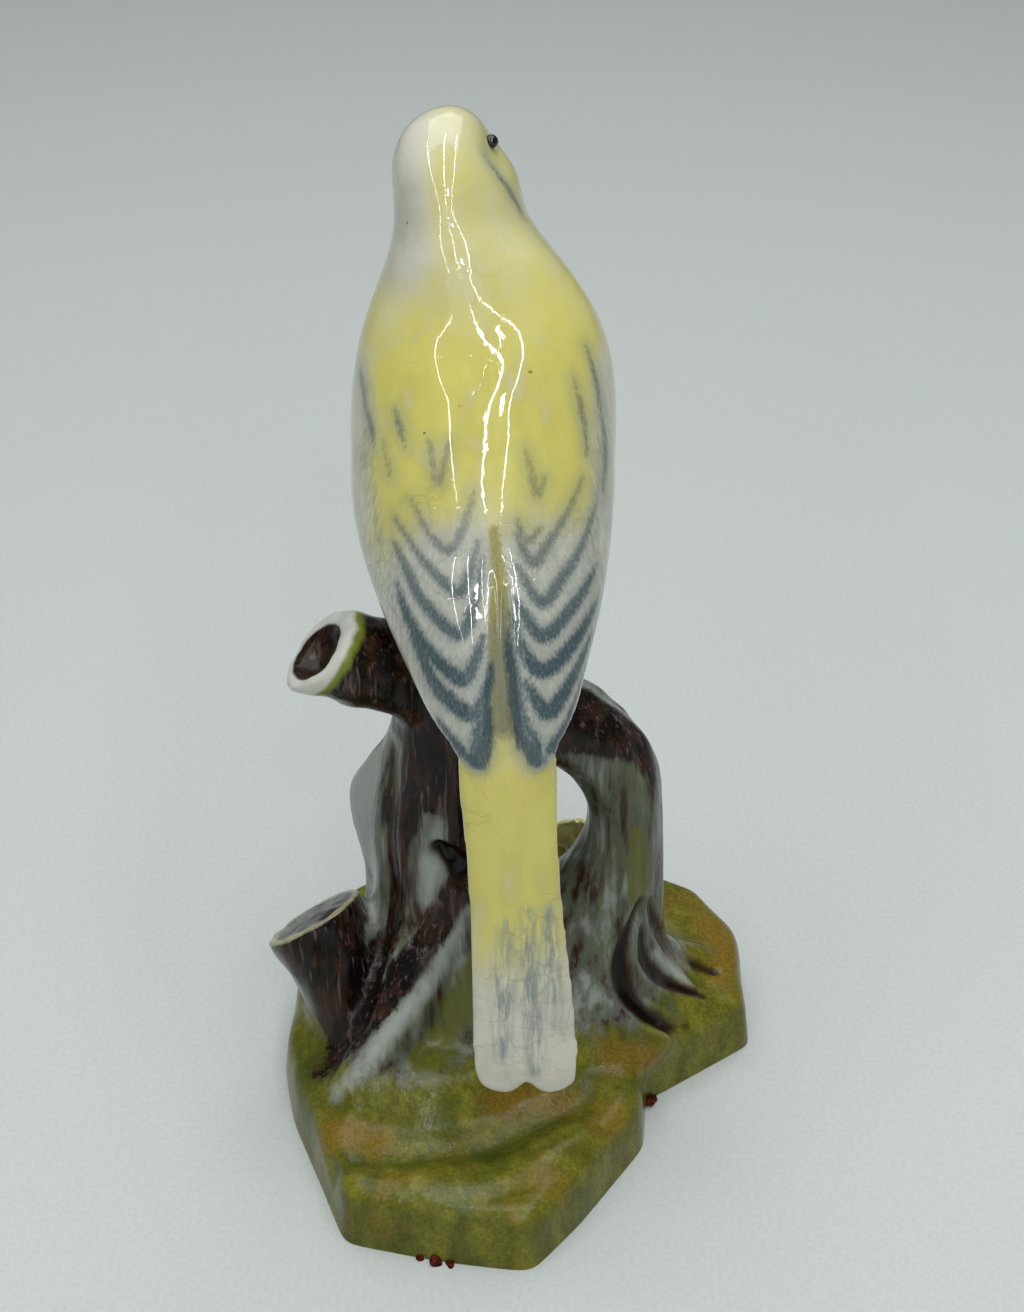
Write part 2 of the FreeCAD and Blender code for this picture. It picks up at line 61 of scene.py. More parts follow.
def mm(*values):
    return tuple(v * MM for v in values)


# ---- selecting, modifiers and meshes ------------------------------------------------------------
def pick(*objects):
    """Selects only these objects and makes the last one active."""
    bpy.ops.object.select_all(action="DESELECT")
    for item in objects:
        item.select_set(True)
    bpy.context.view_layer.objects.active = objects[-1]


def press(obj, kind, **settings):
    """Adds a modifier, sets it and applies it."""
    pick(obj)
    added = obj.modifiers.new(kind.lower(), kind)
    for key, value in settings.items():
        setattr(added, key, value)
    bpy.ops.object.modifier_apply(modifier=added.name)


def edit(obj, *steps):
    """Runs edit-mode steps on the whole of one mesh."""
    pick(obj)
    bpy.ops.object.mode_set(mode="EDIT")
    bpy.ops.mesh.select_all(action="SELECT")
    for step in steps:
        step()
    bpy.ops.object.mode_set(mode="OBJECT")


def join(name, *objects):
    pick(*objects)
    bpy.ops.object.join()
    whole = bpy.context.view_layer.objects.active
    whole.name = name
    whole.data.name = name
    return whole


def twin(obj, name):
    """An independent copy of an object."""
    made = bpy.data.objects.new(name, obj.data.copy())
    bpy.context.scene.collection.objects.link(made)
    return made


def freeze():
    bpy.ops.object.transform_apply(location=True, rotation=True, scale=True)


def ball(name, x, y, z, radius):
    bpy.ops.mesh.primitive_uv_sphere_add(segments=48, ring_count=24, radius=radius * MM,
                                         location=mm(x, y, z))
    bpy.context.object.name = name
    freeze()
    return bpy.context.object


def points(obj):
    """Vertex places as an array, in millimetres."""
    flat = np.empty(len(obj.data.vertices) * 3)
    obj.data.vertices.foreach_get("co", flat)
    return flat.reshape(-1, 3) / MM


def place(obj, spots):
    obj.data.vertices.foreach_set("co", (spots * MM).ravel())
    obj.data.update()


def outward(obj):
    """Vertex normals as an array."""
    flat = np.empty(len(obj.data.vertices) * 3)
    obj.data.vertices.foreach_get("normal", flat)
    return flat.reshape(-1, 3)


def paint(obj, name, values):
    """Stores one number per vertex, which the materials read."""
    layer = obj.data.attributes.get(name) or obj.data.attributes.new(name, "FLOAT", "POINT")
    layer.data.foreach_set("value", np.asarray(values, dtype=np.float32))


def ease(low, high, x):
    """0 below low, 1 above high, smooth between."""
    t = np.clip((x - low) / (high - low), 0.0, 1.0)
    return t * t * (3.0 - 2.0 * t)


def lumps(spots, size, seed):
    """Smooth noise from -1 to 1 at each spot; size is the lumps' spacing in x, y and z."""
    scaled = spots / np.array(size) + seed * 17.3
    return np.array([noise.noise(Vector(s)) for s in scaled])


def curve_through(knots, steps=8):
    """A smooth line through the knots (Catmull-Rom)."""
    k = np.array(knots, dtype=float)
    k = np.vstack([2 * k[0] - k[1], k, 2 * k[-1] - k[-2]])
    out = []
    for a, b, c, d in zip(k, k[1:], k[2:], k[3:]):
        for t in np.linspace(0, 1, steps, endpoint=False):
            out.append(0.5 * (2 * b + (c - a) * t + (2 * a - 5 * b + 4 * c - d) * t * t
                              + (3 * b - a - 3 * c + d) * t ** 3))
    return np.array(out + [k[-2]])


def reach(spots, knots, widths):
    """How far each spot lies outside a tapering stroke, in mm; negative inside it."""
    line = curve_through(knots)
    share = np.linspace(0, 1, len(line))
    wide = np.interp(share, np.linspace(0, 1, len(widths)), widths)
    margin = max(widths) + 8.0
    near = np.all((spots > line.min(axis=0) - margin) & (spots < line.max(axis=0) + margin), axis=1)
    some = spots[near]
    best = np.full(len(some), 50.0)
    for a, b, wa, wb in zip(line, line[1:], wide, wide[1:]):
        way = b - a
        t = np.clip((some - a) @ way / max(way @ way, 1e-9), 0.0, 1.0)
        gap = np.linalg.norm(some - a - t[:, None] * way, axis=1) - (wa + t * (wb - wa))
        best = np.minimum(best, gap)
    out = np.full(len(spots), 50.0)
    out[near] = best
    return out


def soften(obj, name, rounds, strength=0.5):
    """Smooths the vertices by the weights of one vertex group."""
    press(obj, "SMOOTH", factor=strength, iterations=rounds, vertex_group=name)


def weigh(obj, name, weights):
    """A vertex group from an array of weights."""
    group = obj.vertex_groups.get(name) or obj.vertex_groups.new(name=name)
    steps = np.round(np.clip(weights, 0, 1) * 20).astype(int)
    for step in range(21):
        group.add(np.nonzero(steps == step)[0].tolist(), step / 20, "REPLACE")


def part_copy(node):
    """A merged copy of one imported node, grown by a tenth of a millimetre."""
    copy = twin(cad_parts[node], node + "_copy")
    copy.data.materials.clear()
    edit(copy, lambda: bpy.ops.mesh.remove_doubles(threshold=2e-6),
         lambda: bpy.ops.mesh.normals_make_consistent(inside=False))
    press(copy, "DISPLACE", strength=0.12 * MM, mid_level=0.0)
    return copy


def casting(name, nodes, plugs, grain):
    """The nodes' outer skin as one fine closed mesh."""
    whole = join(name, *[part_copy(node) for node in nodes], *plugs)
    spots = points(whole)
    spots[:, 2] -= 3.0 * (spots[:, 2] < 0.5)
    place(whole, spots)
    press(whole, "REMESH", mode="VOXEL", voxel_size=grain * MM)
    edit(whole, lambda: bpy.ops.mesh.separate(type="LOOSE"))
    shells = sorted(bpy.context.selected_objects, key=lambda o: len(o.data.vertices))
    for shell in shells[:-1]:
        bpy.data.objects.remove(shell)
    shells[-1].name = name
    return shells[-1]


def keep_normals(obj):
    """Stores the whole casting's normals, so that cut pieces still shade as one surface."""
    layer = obj.data.attributes.new("whole_normal", "FLOAT_VECTOR", "POINT")
    layer.data.foreach_set("vector", outward(obj).astype(np.float32).ravel())


def use_normals(obj):
    """Shades by the stored normals, and flat on cut faces."""
    mesh = obj.data
    count = len(mesh.loops)
    corner = np.empty(count, dtype=np.int32)
    mesh.loops.foreach_get("vertex_index", corner)
    stored = np.empty(len(mesh.vertices) * 3, dtype=np.float32)
    mesh.attributes["whole_normal"].data.foreach_get("vector", stored)
    soft = stored.reshape(-1, 3)[corner]
    faces = np.empty(len(mesh.polygons) * 3)
    mesh.polygons.foreach_get("normal", faces)
    sizes = np.empty(len(mesh.polygons), dtype=np.int32)
    mesh.polygons.foreach_get("loop_total", sizes)
    flat = np.repeat(faces.reshape(-1, 3), sizes, axis=0)
    length = np.linalg.norm(soft, axis=1, keepdims=True)
    agree = (soft * flat).sum(axis=1, keepdims=True) > 0.45 * length
    chosen = np.where(agree & (length > 0.5), soft / np.maximum(length, 1e-6), flat)
    mesh.polygons.foreach_set("use_smooth", np.ones(len(mesh.polygons), dtype=bool))
    mesh.normals_split_custom_set(chosen.tolist())


def slice_off(obj, spot, way):
    """Removes what lies on the way's side of a plane and closes the cut."""
    edit(obj, lambda: bpy.ops.mesh.bisect(plane_co=mm(*spot), plane_no=way, use_fill=True,
                                          clear_outer=True, threshold=1e-7))


def split(obj, spot, way, name):
    """Cuts an object in two: the part on the way's side is returned."""
    other = twin(obj, name)
    slice_off(obj, spot, way)
    slice_off(other, spot, tuple(-v for v in way))
    return other


# ---- the bird -----------------------------------------------------------------------------------
# Strokes are (knots in x, y, z; half widths along them), in millimetres.
BARS = [
    ([(-11.5, -5.5, 125.2), (-10.1, -8.6, 121.0), (-8.7, -6.2, 125.3)], (0.1, 0.5, 0.1)),
    ([(-13.9, -8.8, 117.9), (-11.6, -11.6, 114.4), (-8.7, -13.5, 112.6), (-6.9, -12.4, 115.2),
      (-5.2, -10.1, 119.6)],
     (0.1, 0.35, 0.55, 0.5, 0.2)),
    ([(-16.3, -8.7, 114.9), (-12.6, -12.9, 111.1), (-9.7, -15.3, 108.9), (-7.2, -16.6, 107.7),
      (-5.7, -15.0, 110.4),
      (-4.7, -13.0, 113.8)], (0.15, 0.4, 0.6, 0.7, 0.55, 0.2)),
    ([(-16.4, -10.2, 111.6), (-14.5, -12.8, 109.0), (-12.2, -15.9, 105.9), (-7.3, -19.8, 102.9),
      (-5.3, -17.7, 106.2),
      (-4.1, -14.2, 111.6)], (0.3, 0.6, 0.7, 0.8, 0.6, 0.2)),
    ([(-15.9, -13.0, 106.8), (-14.3, -15.6, 103.6), (-12.1, -18.7, 100.8), (-9.0, -21.4, 98.6),
      (-6.7, -22.8, 97.4),
      (-5.1, -21.7, 99.9), (-4.0, -20.1, 102.6)], (0.3, 0.7, 0.8, 0.85, 0.95, 0.7, 0.3)),
    ([(-14.6, -17.0, 102.0), (-12.4, -19.0, 99.5), (-9.9, -22.1, 95.4), (-5.3, -25.0, 93.1),
      (-3.6, -23.5, 96.0),
      (-2.9, -21.7, 99.2)], (0.3, 0.7, 1.0, 1.15, 0.7, 0.3)),
    ([(-9.8, -23.3, 90.9), (-6.7, -26.5, 88.0), (-4.4, -27.2, 86.2)], (0.3, 0.7, 1.0)),
    ([(-4.2, -26.9, 86.3), (-4.1, -26.6, 88.6), (-4.0, -25.9, 91.2), (-3.2, -24.6, 93.6)],
     (0.9, 1.5, 1.3, 0.4)),
    ([(1.8, -6.3, 124.6), (2.9, -8.2, 121.1), (3.5, -9.1, 119.1), (4.6, -7.7, 120.8)], (0.1, 0.4, 0.5, 0.2)),
    ([(0.6, -11.5, 116.3), (1.9, -12.8, 113.6), (3.9, -11.4, 114.8)], (0.15, 0.35, 0.15)),
    ([(0.5, -12.4, 114.7), (2.8, -14.1, 110.9), (4.6, -12.4, 112.3), (7.5, -8.8, 115.5), (9.8, -4.9, 119.0)],
     (0.25, 0.65, 0.6, 0.4, 0.15)),
    ([(0.7, -14.7, 110.8), (3.9, -16.8, 106.2), (6.8, -13.6, 108.2), (9.5, -9.8, 110.7),
      (12.2, -4.6, 115.0)],
     (0.3, 0.75, 0.7, 0.55, 0.2)),
    ([(0.4, -17.3, 106.9), (1.6, -18.3, 105.0), (4.2, -19.4, 102.3), (8.0, -15.5, 104.4),
      (12.0, -9.2, 107.6)],
     (0.3, 0.7, 0.9, 0.8, 0.3)),
    ([(0.0, -18.4, 105.4), (1.5, -21.2, 101.0), (4.3, -21.8, 98.2), (8.5, -17.5, 100.5),
      (12.0, -11.4, 103.4)],
     (0.3, 0.7, 1.0, 0.9, 0.35)),
    ([(1.6, -23.0, 97.1), (4.6, -24.3, 93.0), (6.7, -22.2, 94.4), (9.1, -18.2, 97.4), (10.6, -15.0, 99.6)],
     (0.4, 1.15, 0.95, 0.7, 0.3)),
    ([(5.2, -26.3, 88.2), (7.2, -23.4, 90.6), (9.3, -18.3, 94.8), (11.2, -14.0, 98.6)],
     (0.8, 0.5, 0.3, 0.1)),
    ([(-0.7, -20.0, 103.6), (-0.1, -22.1, 99.5), (1.0, -25.0, 92.9), (2.2, -26.6, 89.2), (3.4, -27.3, 86.9)],
     (0.3, 0.7, 1.0, 1.5, 1.0)),
]
BACK_PAD = [(-3.6, -12.2, 113.3), (-3.6, -10.05, 117.3), (-3.6, -7.55, 121.3), (-3.6, -5.0, 125.3),
            (-3.6, -2.3, 129.3),
            (-3.6, 0.4, 133.3)]                  # fills the gap between the wings' roots
DASHES = [
    ([(-21.6, 7.6, 129.6), (-21.2, 4.4, 128.0), (-20.6, 2.6, 125.6)], (0.1, 0.5, 0.1)),
    ([(-20.4, 2.1, 125.9), (-19.6, 0.0, 124.0), (-19.0, -1.4, 122.0)], (0.1, 0.45, 0.1)),
    ([(-16.3, -0.9, 127.8), (-15.4, -2.7, 125.8), (-14.6, -4.2, 123.8)], (0.1, 0.4, 0.1)),
    ([(-17.7, -2.2, 123.3), (-16.8, -5.0, 119.9)], (0.1, 0.35)),
    ([(10.4, 6.0, 134.2), (11.9, 4.2, 129.7), (12.9, 2.2, 124.9)], (0.1, 0.5, 0.15)),
    ([(12.9, 2.4, 124.5), (13.4, 0.4, 119.8), (12.7, -2.4, 115.6)], (0.15, 0.6, 0.2)),
    ([(8.4, 2.0, 131.0), (9.9, -0.2, 126.4), (10.6, -2.6, 121.8)], (0.1, 0.35, 0.1)),
]
PAD_RADIUS = 1.35
CHEEK_LINE = ([(-3.4, 18.2, 157.4), (-1.9, 18.0, 155.0), (0.0, 18.2, 151.9), (1.4, 18.6, 149.2)],
              (0.2, 0.45, 0.6, 0.3))
TAIL_STREAKS = [
    ([(-0.6, -31.2, 60.0), (-1.2, -32.5, 50.0), (-1.4, -33.6, 36.0)], (0.3, 1.1, 0.7)),
    ([(2.2, -31.2, 62.0), (2.7, -32.5, 50.0), (3.6, -33.8, 33.0)], (0.3, 1.2, 0.8)),
    ([(5.2, -31.2, 62.0), (6.0, -32.5, 50.0), (6.2, -33.2, 42.0)], (0.3, 0.9, 0.4)),
]
HEAD_SHAPES = [                                  # centre, radius, depth inward
    ((-9.2, 9.0, 147.0), 7.5, -2.3),
    ((-10.0, 12.4, 153.6), 5.0, -0.8),
    ((0.2, 19.0, 158.6), 4.2, 1.3),
    ((-0.6, 24.0, 157.2), 3.4, 0.7),
    ((-12.4, 28.0, 157.2), 3.4, 0.7),
    ((-1.0, 25.5, 151.0), 3.6, -0.7),
    ((-10.6, 29.4, 151.0), 3.6, -0.7),
]
STRIPE = ([(-2.5, -12.4, 115.2), (-1.8, -16.2, 108.7), (-1.6, -20.4, 102.3), (-1.4, -23.5, 96.2),
           (-1.2, -25.5, 91.5)],
          (0.4, 1.0, 1.5, 1.8, 2.0))
SPECKS = [(-8.2, 15.4, 160.9), (-14.6, 12.6, 149.8), (-7.9, 12.9, 156.4), (-1.3, 18.0, 154.0),
          (-7.2, -3.4, 129.6),
          (-12.1, -4.6, 126.0), (2.6, -0.4, 133.4), (-1.6, -31.0, 61.0), (-3.4, -26.9, 83.0),
          (4.0, -32.2, 50.6)]


def wing_depth(spots, side):
    """How far inside a folded wing each spot lies, in mm; side is -1 for the left one."""
    x, y, z = spots.T
    left = np.interp(z, [84, 88, 91, 96, 102, 109, 115, 130],
                     [-3.6, -3.4, -2.9, -2.9, -2.5, -2.6, -3.3, -4.0])
    right = np.interp(z, [84, 88, 91, 96, 102, 109, 115, 130], [2.8, 2.2, 0.5, 0.0, -0.7, -1.0, -1.5, -3.4])
    inner = (left - x) if side < 0 else (x - right)
    hem = np.interp(y, [-34, -27, -25, -22, -18, -13, -5, 4, 13, 21, 27],
                    [83, 85, 88, 89.5, 91, 93, 98, 103.5, 110, 117, 128])
    shoulder = 138.5 - z + 0.25 * (y - 12)
    return np.minimum(np.minimum(inner, (z - hem) * 0.8), shoulder)


def press_in(spots, normals, centre, radius, depth):
    """Moves a soft round area inward by a depth (outward if the depth is negative)."""
    gap = np.linalg.norm(spots - np.array(centre), axis=1)
    return spots - normals * (depth * np.exp(-(gap / radius) ** 2))[:, None]


def bird_casting():
    """The whole bird's skin, smoothed and sculpted, with its paint stored."""
    pad = tube("back_pad", BACK_PAD, (PAD_RADIUS, PAD_RADIUS))
    bird = casting("bird_casting", BIRD_NODES, [ball("plug", *BIRD_PLUG), pad], 0.5)
    weigh(bird, "soft", ease(84, 98, points(bird)[:, 2]) * 0.8 + 0.2)
    soften(bird, "soft", 160)
    z = points(bird)[:, 2]
    weigh(bird, "soft", ease(130, 140, z) * ease(156, 148, z))
    soften(bird, "soft", 260)
    spots, normals = points(bird), outward(bird)
    for centre, radius, depth in HEAD_SHAPES:
        spots = press_in(spots, normals, centre, radius, depth)
    place(bird, tail_tip(spots))
    paint_bird(bird)
    spots, normals = points(bird), outward(bird)
    raise_by = np.zeros(len(spots))
    for side in (-1, 1):
        inside = wing_depth(spots, side)
        strong = ease(113, 103, spots[:, 2] - 0.35 * np.clip(spots[:, 1] + 10, 0, 40))
        raise_by += look().wing_relief / MM * ease(-0.6, 0.9, inside) * strong
    place(bird, spots + normals * raise_by[:, None])
    bird.vertex_groups.clear()
    return bird


def tail_tip(spots):
    """Rounds the two lobes of the tail's end and notches it between them."""
    x, y, z = spots.T
    near = ease(40, 29, z) * (y < -20)
    off = x - 2.2
    corner = 3.6 * np.clip((np.abs(off) - 4.2) / 4.2, 0, 1.2) ** 2.4
    notch = 1.5 * np.exp(-(off / 1.3) ** 2) - 0.6 * np.exp(-((np.abs(off) - 3.6) / 2.0) ** 2)
    out = spots.copy()
    out[:, 0] += off * 0.05 * near
    out[:, 2] += near * (corner + notch)
    return out


def paint_bird(bird):
    spots = points(bird)
    x, y, z = spots.T
    bars = np.minimum.reduce([reach(spots, *stroke) for stroke in BARS])
    dashes = np.minimum.reduce([reach(spots, *stroke) for stroke in DASHES + [CHEEK_LINE]])
    tone = 0.45 + 0.50 * ease(122, 98, z)
    paint(bird, "bars", np.minimum(bars, dashes))
    paint(bird, "bar_tone", np.where(bars < dashes, tone, 0.62))
    streaks = np.minimum.reduce([reach(spots, *stroke) for stroke in TAIL_STREAKS])
    flank = np.minimum(np.abs(x + 20.5 + (124 - z) * 0.02 - np.clip(118 - z, 0, 60) * 0.33),
                       np.abs(x - 12.6 + np.clip(118 - z, 0, 60) * 0.16))
    flank = np.exp(-(flank / 1.6) ** 2) * ease(133, 122, z) * ease(90, 97, z) * ease(12, 6, y)
    hems = 1 - np.maximum(ease(-0.2, 0.6, wing_depth(spots, -1)), ease(-0.2, 0.6, wing_depth(spots, 1)))
    wings = (1 - hems) * ease(122, 108, z) * 0.40
    paint(bird, "wash", np.maximum.reduce([ease(2.0, -0.8, streaks) * 0.9, flank * 0.55, wings]))
    paint(bird, "stripe", reach(spots, *STRIPE))
    back = ease(110.0, 123.0, z + 0.20 * np.abs(x + 4.2) + np.clip(-(x + 12), 0, 8) * 0.8)
    back *= 1 - 0.80 * ease(12.5, 18.5, np.abs(x + 4.2) + np.clip(y - 4, 0, 20) * 0.1) * ease(140, 128, z)
    tail = hems * ease(95.0, 86.0, z) * ease(40.0, 66.0, z)
    aside = np.maximum(wing_depth(spots, -1), wing_depth(spots, 1))
    belly = 0.75 * ease(-6, 10, y) * ease(86, 96, z) * ease(1.0, -4.0, aside)
    warm = np.maximum.reduce([back, tail, hems * ease(100, 92, z) * ease(60, 80, z), belly])
    side = (x + 12.3) * 0.87 + (y - 15) * 0.1
    # Up the neck and on the head the yellow keeps to the right and back; the head's left side stays near
    # white as a painted window reflection.
    yellow_side = ease(-1.6, 2.2, side + np.clip(147 - z, 0, 30) * 0.45)
    neck = ease(130, 148, z)
    warm = warm * (1 - neck) + np.minimum(warm, 0.06 + 0.56 * yellow_side) * neck
    warm = warm * (1 - 0.35 * ease(158.5, 162.5, z))
    paint(bird, "warm", warm)
    paint(bird, "crazed", np.maximum(ease(128, 116, z), 0.25))
    specks = np.full(len(spots), 1e3)
    for speck in SPECKS:
        specks = np.minimum(specks, np.linalg.norm(spots - np.array(speck), axis=1))
    paint(bird, "specks", specks)


def bird_pieces(bird):
    """Cuts the bird's skin into body, head, tail and two wings that meet without a gap."""
    keep_normals(bird)
    wings = []
    spots, normals = points(bird), outward(bird)
    sunk = np.zeros(len(spots))
    for name, side in (("left_wing", -1), ("right_wing", 1)):
        inside = wing_depth(spots, side) > 0
        wing = twin(bird, name + "_piece")
        group = wing.vertex_groups.new(name="wing")
        group.add(np.nonzero(inside)[0].tolist(), 1.0, "REPLACE")
        place(wing, spots + normals * 0.03)
        press(wing, "MASK", vertex_group="wing", threshold=0.5)
        press(wing, "SOLIDIFY", thickness=0.7 * MM, offset=-1.0)
        wing.vertex_groups.clear()
        wings.append(wing)
        sunk += core_of(bird, inside)
    place(bird, spots - normals * (1.1 * np.clip(sunk, 0, 1))[:, None])
    head = split(bird, *NECK_CUT, "bird_head_piece")
    tail = split(bird, TAIL_CUT[0], tuple(-v for v in TAIL_CUT[1]), "bird_tail_piece")
    bird.name = "bird_body_piece"
    return [bird, head, tail] + wings


def core_of(obj, inside):
    """1 where a vertex and all its neighbours lie inside, else 0."""
    edges = np.empty(len(obj.data.edges) * 2, dtype=np.int32)
    obj.data.edges.foreach_get("vertices", edges)
    edges = edges.reshape(-1, 2)
    core = inside.copy()
    for _ in range(3):
        border = core[edges[:, 0]] != core[edges[:, 1]]
        core[edges[border].ravel()] = False
    return core.astype(float)


# ---- the stump ----------------------------------------------------------------------------------
BROWN = [
    ([(-9.0, -5.0, 90.0), (-11.0, -5.5, 80.0), (-12.5, -5.0, 71.0), (-14.5, -4.5, 63.0)],
     (9.0, 8.0, 6.0, 4.5)),
    ([(-15.5, -3.5, 66.0), (-16.4, -4.0, 58.0), (-17.6, -3.8, 52.0), (-18.2, -4.0, 44.0),
      (-18.6, -5.5, 34.0),
      (-19.8, -9.5, 26.0)], (3.4, 2.8, 2.0, 1.2, 1.0, 0.9)),
    ([(-20.6, 1.5, 66.0), (-20.3, 0.4, 57.9), (-20.1, -2.1, 47.5), (-20.9, -2.8, 36.0), (-21.2, -4.6, 28.5),
      (-23.4, -10.8, 22.5), (-27.4, -14.0, 16.0)], (1.0, 1.7, 1.9, 1.9, 2.0, 2.0, 1.6)),
    ([(-7.2, -5.7, 48.0), (-8.6, -6.2, 44.0), (-11.8, -7.4, 38.6), (-16.4, -9.8, 32.4), (-21.3, -12.4, 26.0),
      (-26.4, -13.8, 19.0), (-32.0, -13.4, 11.6)], (2.4, 2.6, 2.6, 2.5, 2.5, 2.2, 1.4)),
    ([(-7.0, -6.0, 72.0), (-7.0, -6.0, 57.0), (-8.0, -6.2, 52.0)], (4.6, 3.4, 2.6)),
    ([(-12.4, -6.0, 66.0), (-13.6, -6.0, 60.0), (-14.8, -6.0, 55.0)], (1.6, 1.2, 0.3)),
    ([(-13.0, 2.0, 81.0), (-19.5, 0.0, 84.0), (-24.0, -1.6, 86.4)], (12.0, 8.6, 7.0)),
    ([(-31.0, -2.5, 33.0), (-30.0, -7.0, 28.0), (-29.0, -8.8, 20.0), (-28.6, -10.6, 13.5)],
     (8.0, 7.5, 5.8, 3.2)),
    ([(0.0, -1.0, 76.0), (9.5, -0.8, 74.2), (14.6, 0.6, 71.6), (18.4, 2.8, 67.0), (21.6, 4.0, 60.5),
      (23.2, 4.6, 54.0), (23.8, 5.0, 49.5)], (7.0, 5.6, 4.6, 3.4, 2.6, 1.8, 0.6)),
    ([(24.0, 6.0, 68.0), (28.0, 7.0, 62.0), (30.4, 7.4, 55.0), (30.8, 7.4, 49.0)], (3.4, 3.0, 2.4, 0.8)),
]
HOLLOWS = [                                      # stroke and how deep it is pressed in
    (([(-12.0, -6.1, 52.0), (-9.4, -6.0, 50.6), (-7.0, -5.6, 47.6)], (1.0, 1.9, 2.2)), 2.2),
    (([(21.4, 0.0, 36.5), (18.8, -2.7, 31.0), (18.0, -3.9, 26.0), (19.4, -5.2, 21.0), (22.6, -5.8, 17.4),
       (26.4, -4.6, 13.6), (30.0, -2.4, 11.0)], (0.3, 0.9, 1.3, 1.4, 1.1, 0.8, 0.3)), 1.6),
    (([(22.0, -0.4, 31.0), (22.6, -1.0, 25.6), (24.6, 0.2, 20.4), (29.2, 2.4, 15.6), (33.0, 4.2, 12.0)],
      (0.3, 1.1, 1.2, 0.9, 0.2)), 1.1),
    (([(22.8, 1.9, 35.0), (24.4, 3.4, 28.4), (27.6, 6.4, 21.6), (32.4, 9.8, 14.4), (35.4, 11.0, 11.4)],
      (0.3, 1.0, 1.3, 1.1, 0.2)), 1.1),
]
GROOVES = [
    (([(-20.6, 1.5, 66.0), (-20.1, -2.1, 47.5), (-20.9, -2.8, 36.0), (-21.2, -4.6, 28.5),
       (-24.0, -10.8, 22.0)],
      (1.0, 1.3, 1.3, 1.4, 1.4)), 1.5),
    (([(-18.6, -4.4, 60.0), (-19.0, -4.4, 44.0), (-19.2, -6.4, 31.0)], (0.2, 0.3, 0.3)), -0.7),
    (([(-12.4, -6.4, 57.0), (-13.4, -6.6, 46.0), (-15.4, -8.4, 37.0)], (1.4, 1.6, 1.2)), 0.9),
    (([(-24.2, -2.0, 32.0), (-24.4, -6.8, 24.0), (-25.6, -11.6, 17.0)], (0.4, 0.5, 0.4)), 1.3),
    (([(-17.0, -12.4, 31.0), (-22.6, -15.4, 23.4), (-28.0, -17.6, 15.0)], (0.6, 0.6, 0.4)), 0.8),
    (([(9.0, -1.6, 69.0), (15.6, -0.6, 65.0), (18.6, -0.6, 57.0)], (0.3, 0.5, 0.3)), 0.5),
    (([(-29.0, -32.0, 8.8), (-16.0, -31.6, 11.0), (-4.0, -30.3, 11.4), (6.0, -24.0, 11.6),
       (12.8, -18.4, 11.4)],
      (0.5, 0.8, 0.9, 0.9, 0.6)), 0.9),
    (([(10.0, -27.0, 11.0), (-2.0, -34.4, 10.0), (-14.0, -36.0, 9.4)], (1.6, 2.4, 1.6)), -1.1),
]
PALE = [
    ([(-11.4, -6.2, 57.0), (-12.6, -6.2, 49.0), (-14.2, -6.8, 42.0)], (0.8, 2.0, 1.2)),
    ([(-24.6, 8.0, 58.0), (-25.6, 8.6, 46.0), (-24.6, 4.0, 37.0), (-24.2, -3.4, 31.0)],
     (4.4, 4.2, 3.0, 1.0)),
    ([(-6.0, -6.2, 43.0), (-9.6, -8.6, 35.6), (-13.0, -11.8, 29.8), (-18.0, -14.6, 25.0),
      (-23.4, -17.6, 18.8),
      (-28.6, -20.0, 13.0)], (0.9, 1.3, 1.5, 1.6, 1.4, 0.8)),
    ([(26.4, 4.6, 24.6), (31.0, 8.2, 15.6)], (0.5, 1.2)),
    ([(24.6, 1.6, 24.0), (29.4, 5.2, 15.4)], (0.5, 1.2)),
    ([(-18.6, -4.4, 60.0), (-19.0, -4.4, 44.0)], (0.15, 0.15)),
    ([(10.0, 5.6, 77.0), (18.0, 5.8, 72.6), (22.6, 6.6, 65.0)], (0.5, 0.8, 0.5)),
    ([(-18.0, -3.0, 77.0), (-26.0, -6.2, 80.0)], (0.4, 0.6)),
]
GREEN = [
    ([(-22.0, -3.6, 92.4), (-24.6, 1.0, 94.0)], (1.6, 2.0)),
    ([(20.0, -0.4, 52.0), (20.6, 0.0, 41.5), (20.6, -1.6, 36.0)], (1.2, 2.2, 1.8)),
    ([(-4.0, -9.0, 32.0), (-8.0, -12.0, 24.0), (-14.0, -16.0, 17.0)], (3.0, 3.5, 3.0)),
]
OCHRE = [
    ([(16.0, -12.0, 13.0), (24.0, -8.4, 11.2)], (2.4, 2.6)),
    ([(36.0, 9.0, 11.0), (37.6, 16.0, 11.0), (35.6, 24.0, 11.0)], (2.0, 3.2, 3.0)),
    ([(-2.0, -22.0, 13.0), (7.0, -19.0, 13.0)], (2.6, 3.6)),
    ([(-30.0, -26.0, 10.0), (-22.0, -27.6, 11.0)], (2.6, 2.6)),
    ([(12.6, -26.0, 10.0), (16.8, -22.0, 10.0)], (1.6, 1.6)),
]
SOCKET = ((-29.6, -1.8, 88.0), (-0.70, -0.08, 0.71))
TORN_END = ((-32.5, 0.6, 33.3), (-0.50, 0.40, 0.77))
CUTS = [                                         # piece, a point on the cut and the way to the piece
    ("rock_base_piece", (0, 0, 16.5), (0, 0, -1)),
    ("arched_branch_piece", (6.0, 0, 50.0), (1, 0, -0.035)),
    ("upper_branch_piece", (-16.5, 1.6, 81.8), (-0.84, -0.24, 0.48)),
    ("lower_branch_piece", (-27.2, 0, 0), (-1, 0, 0)),
]


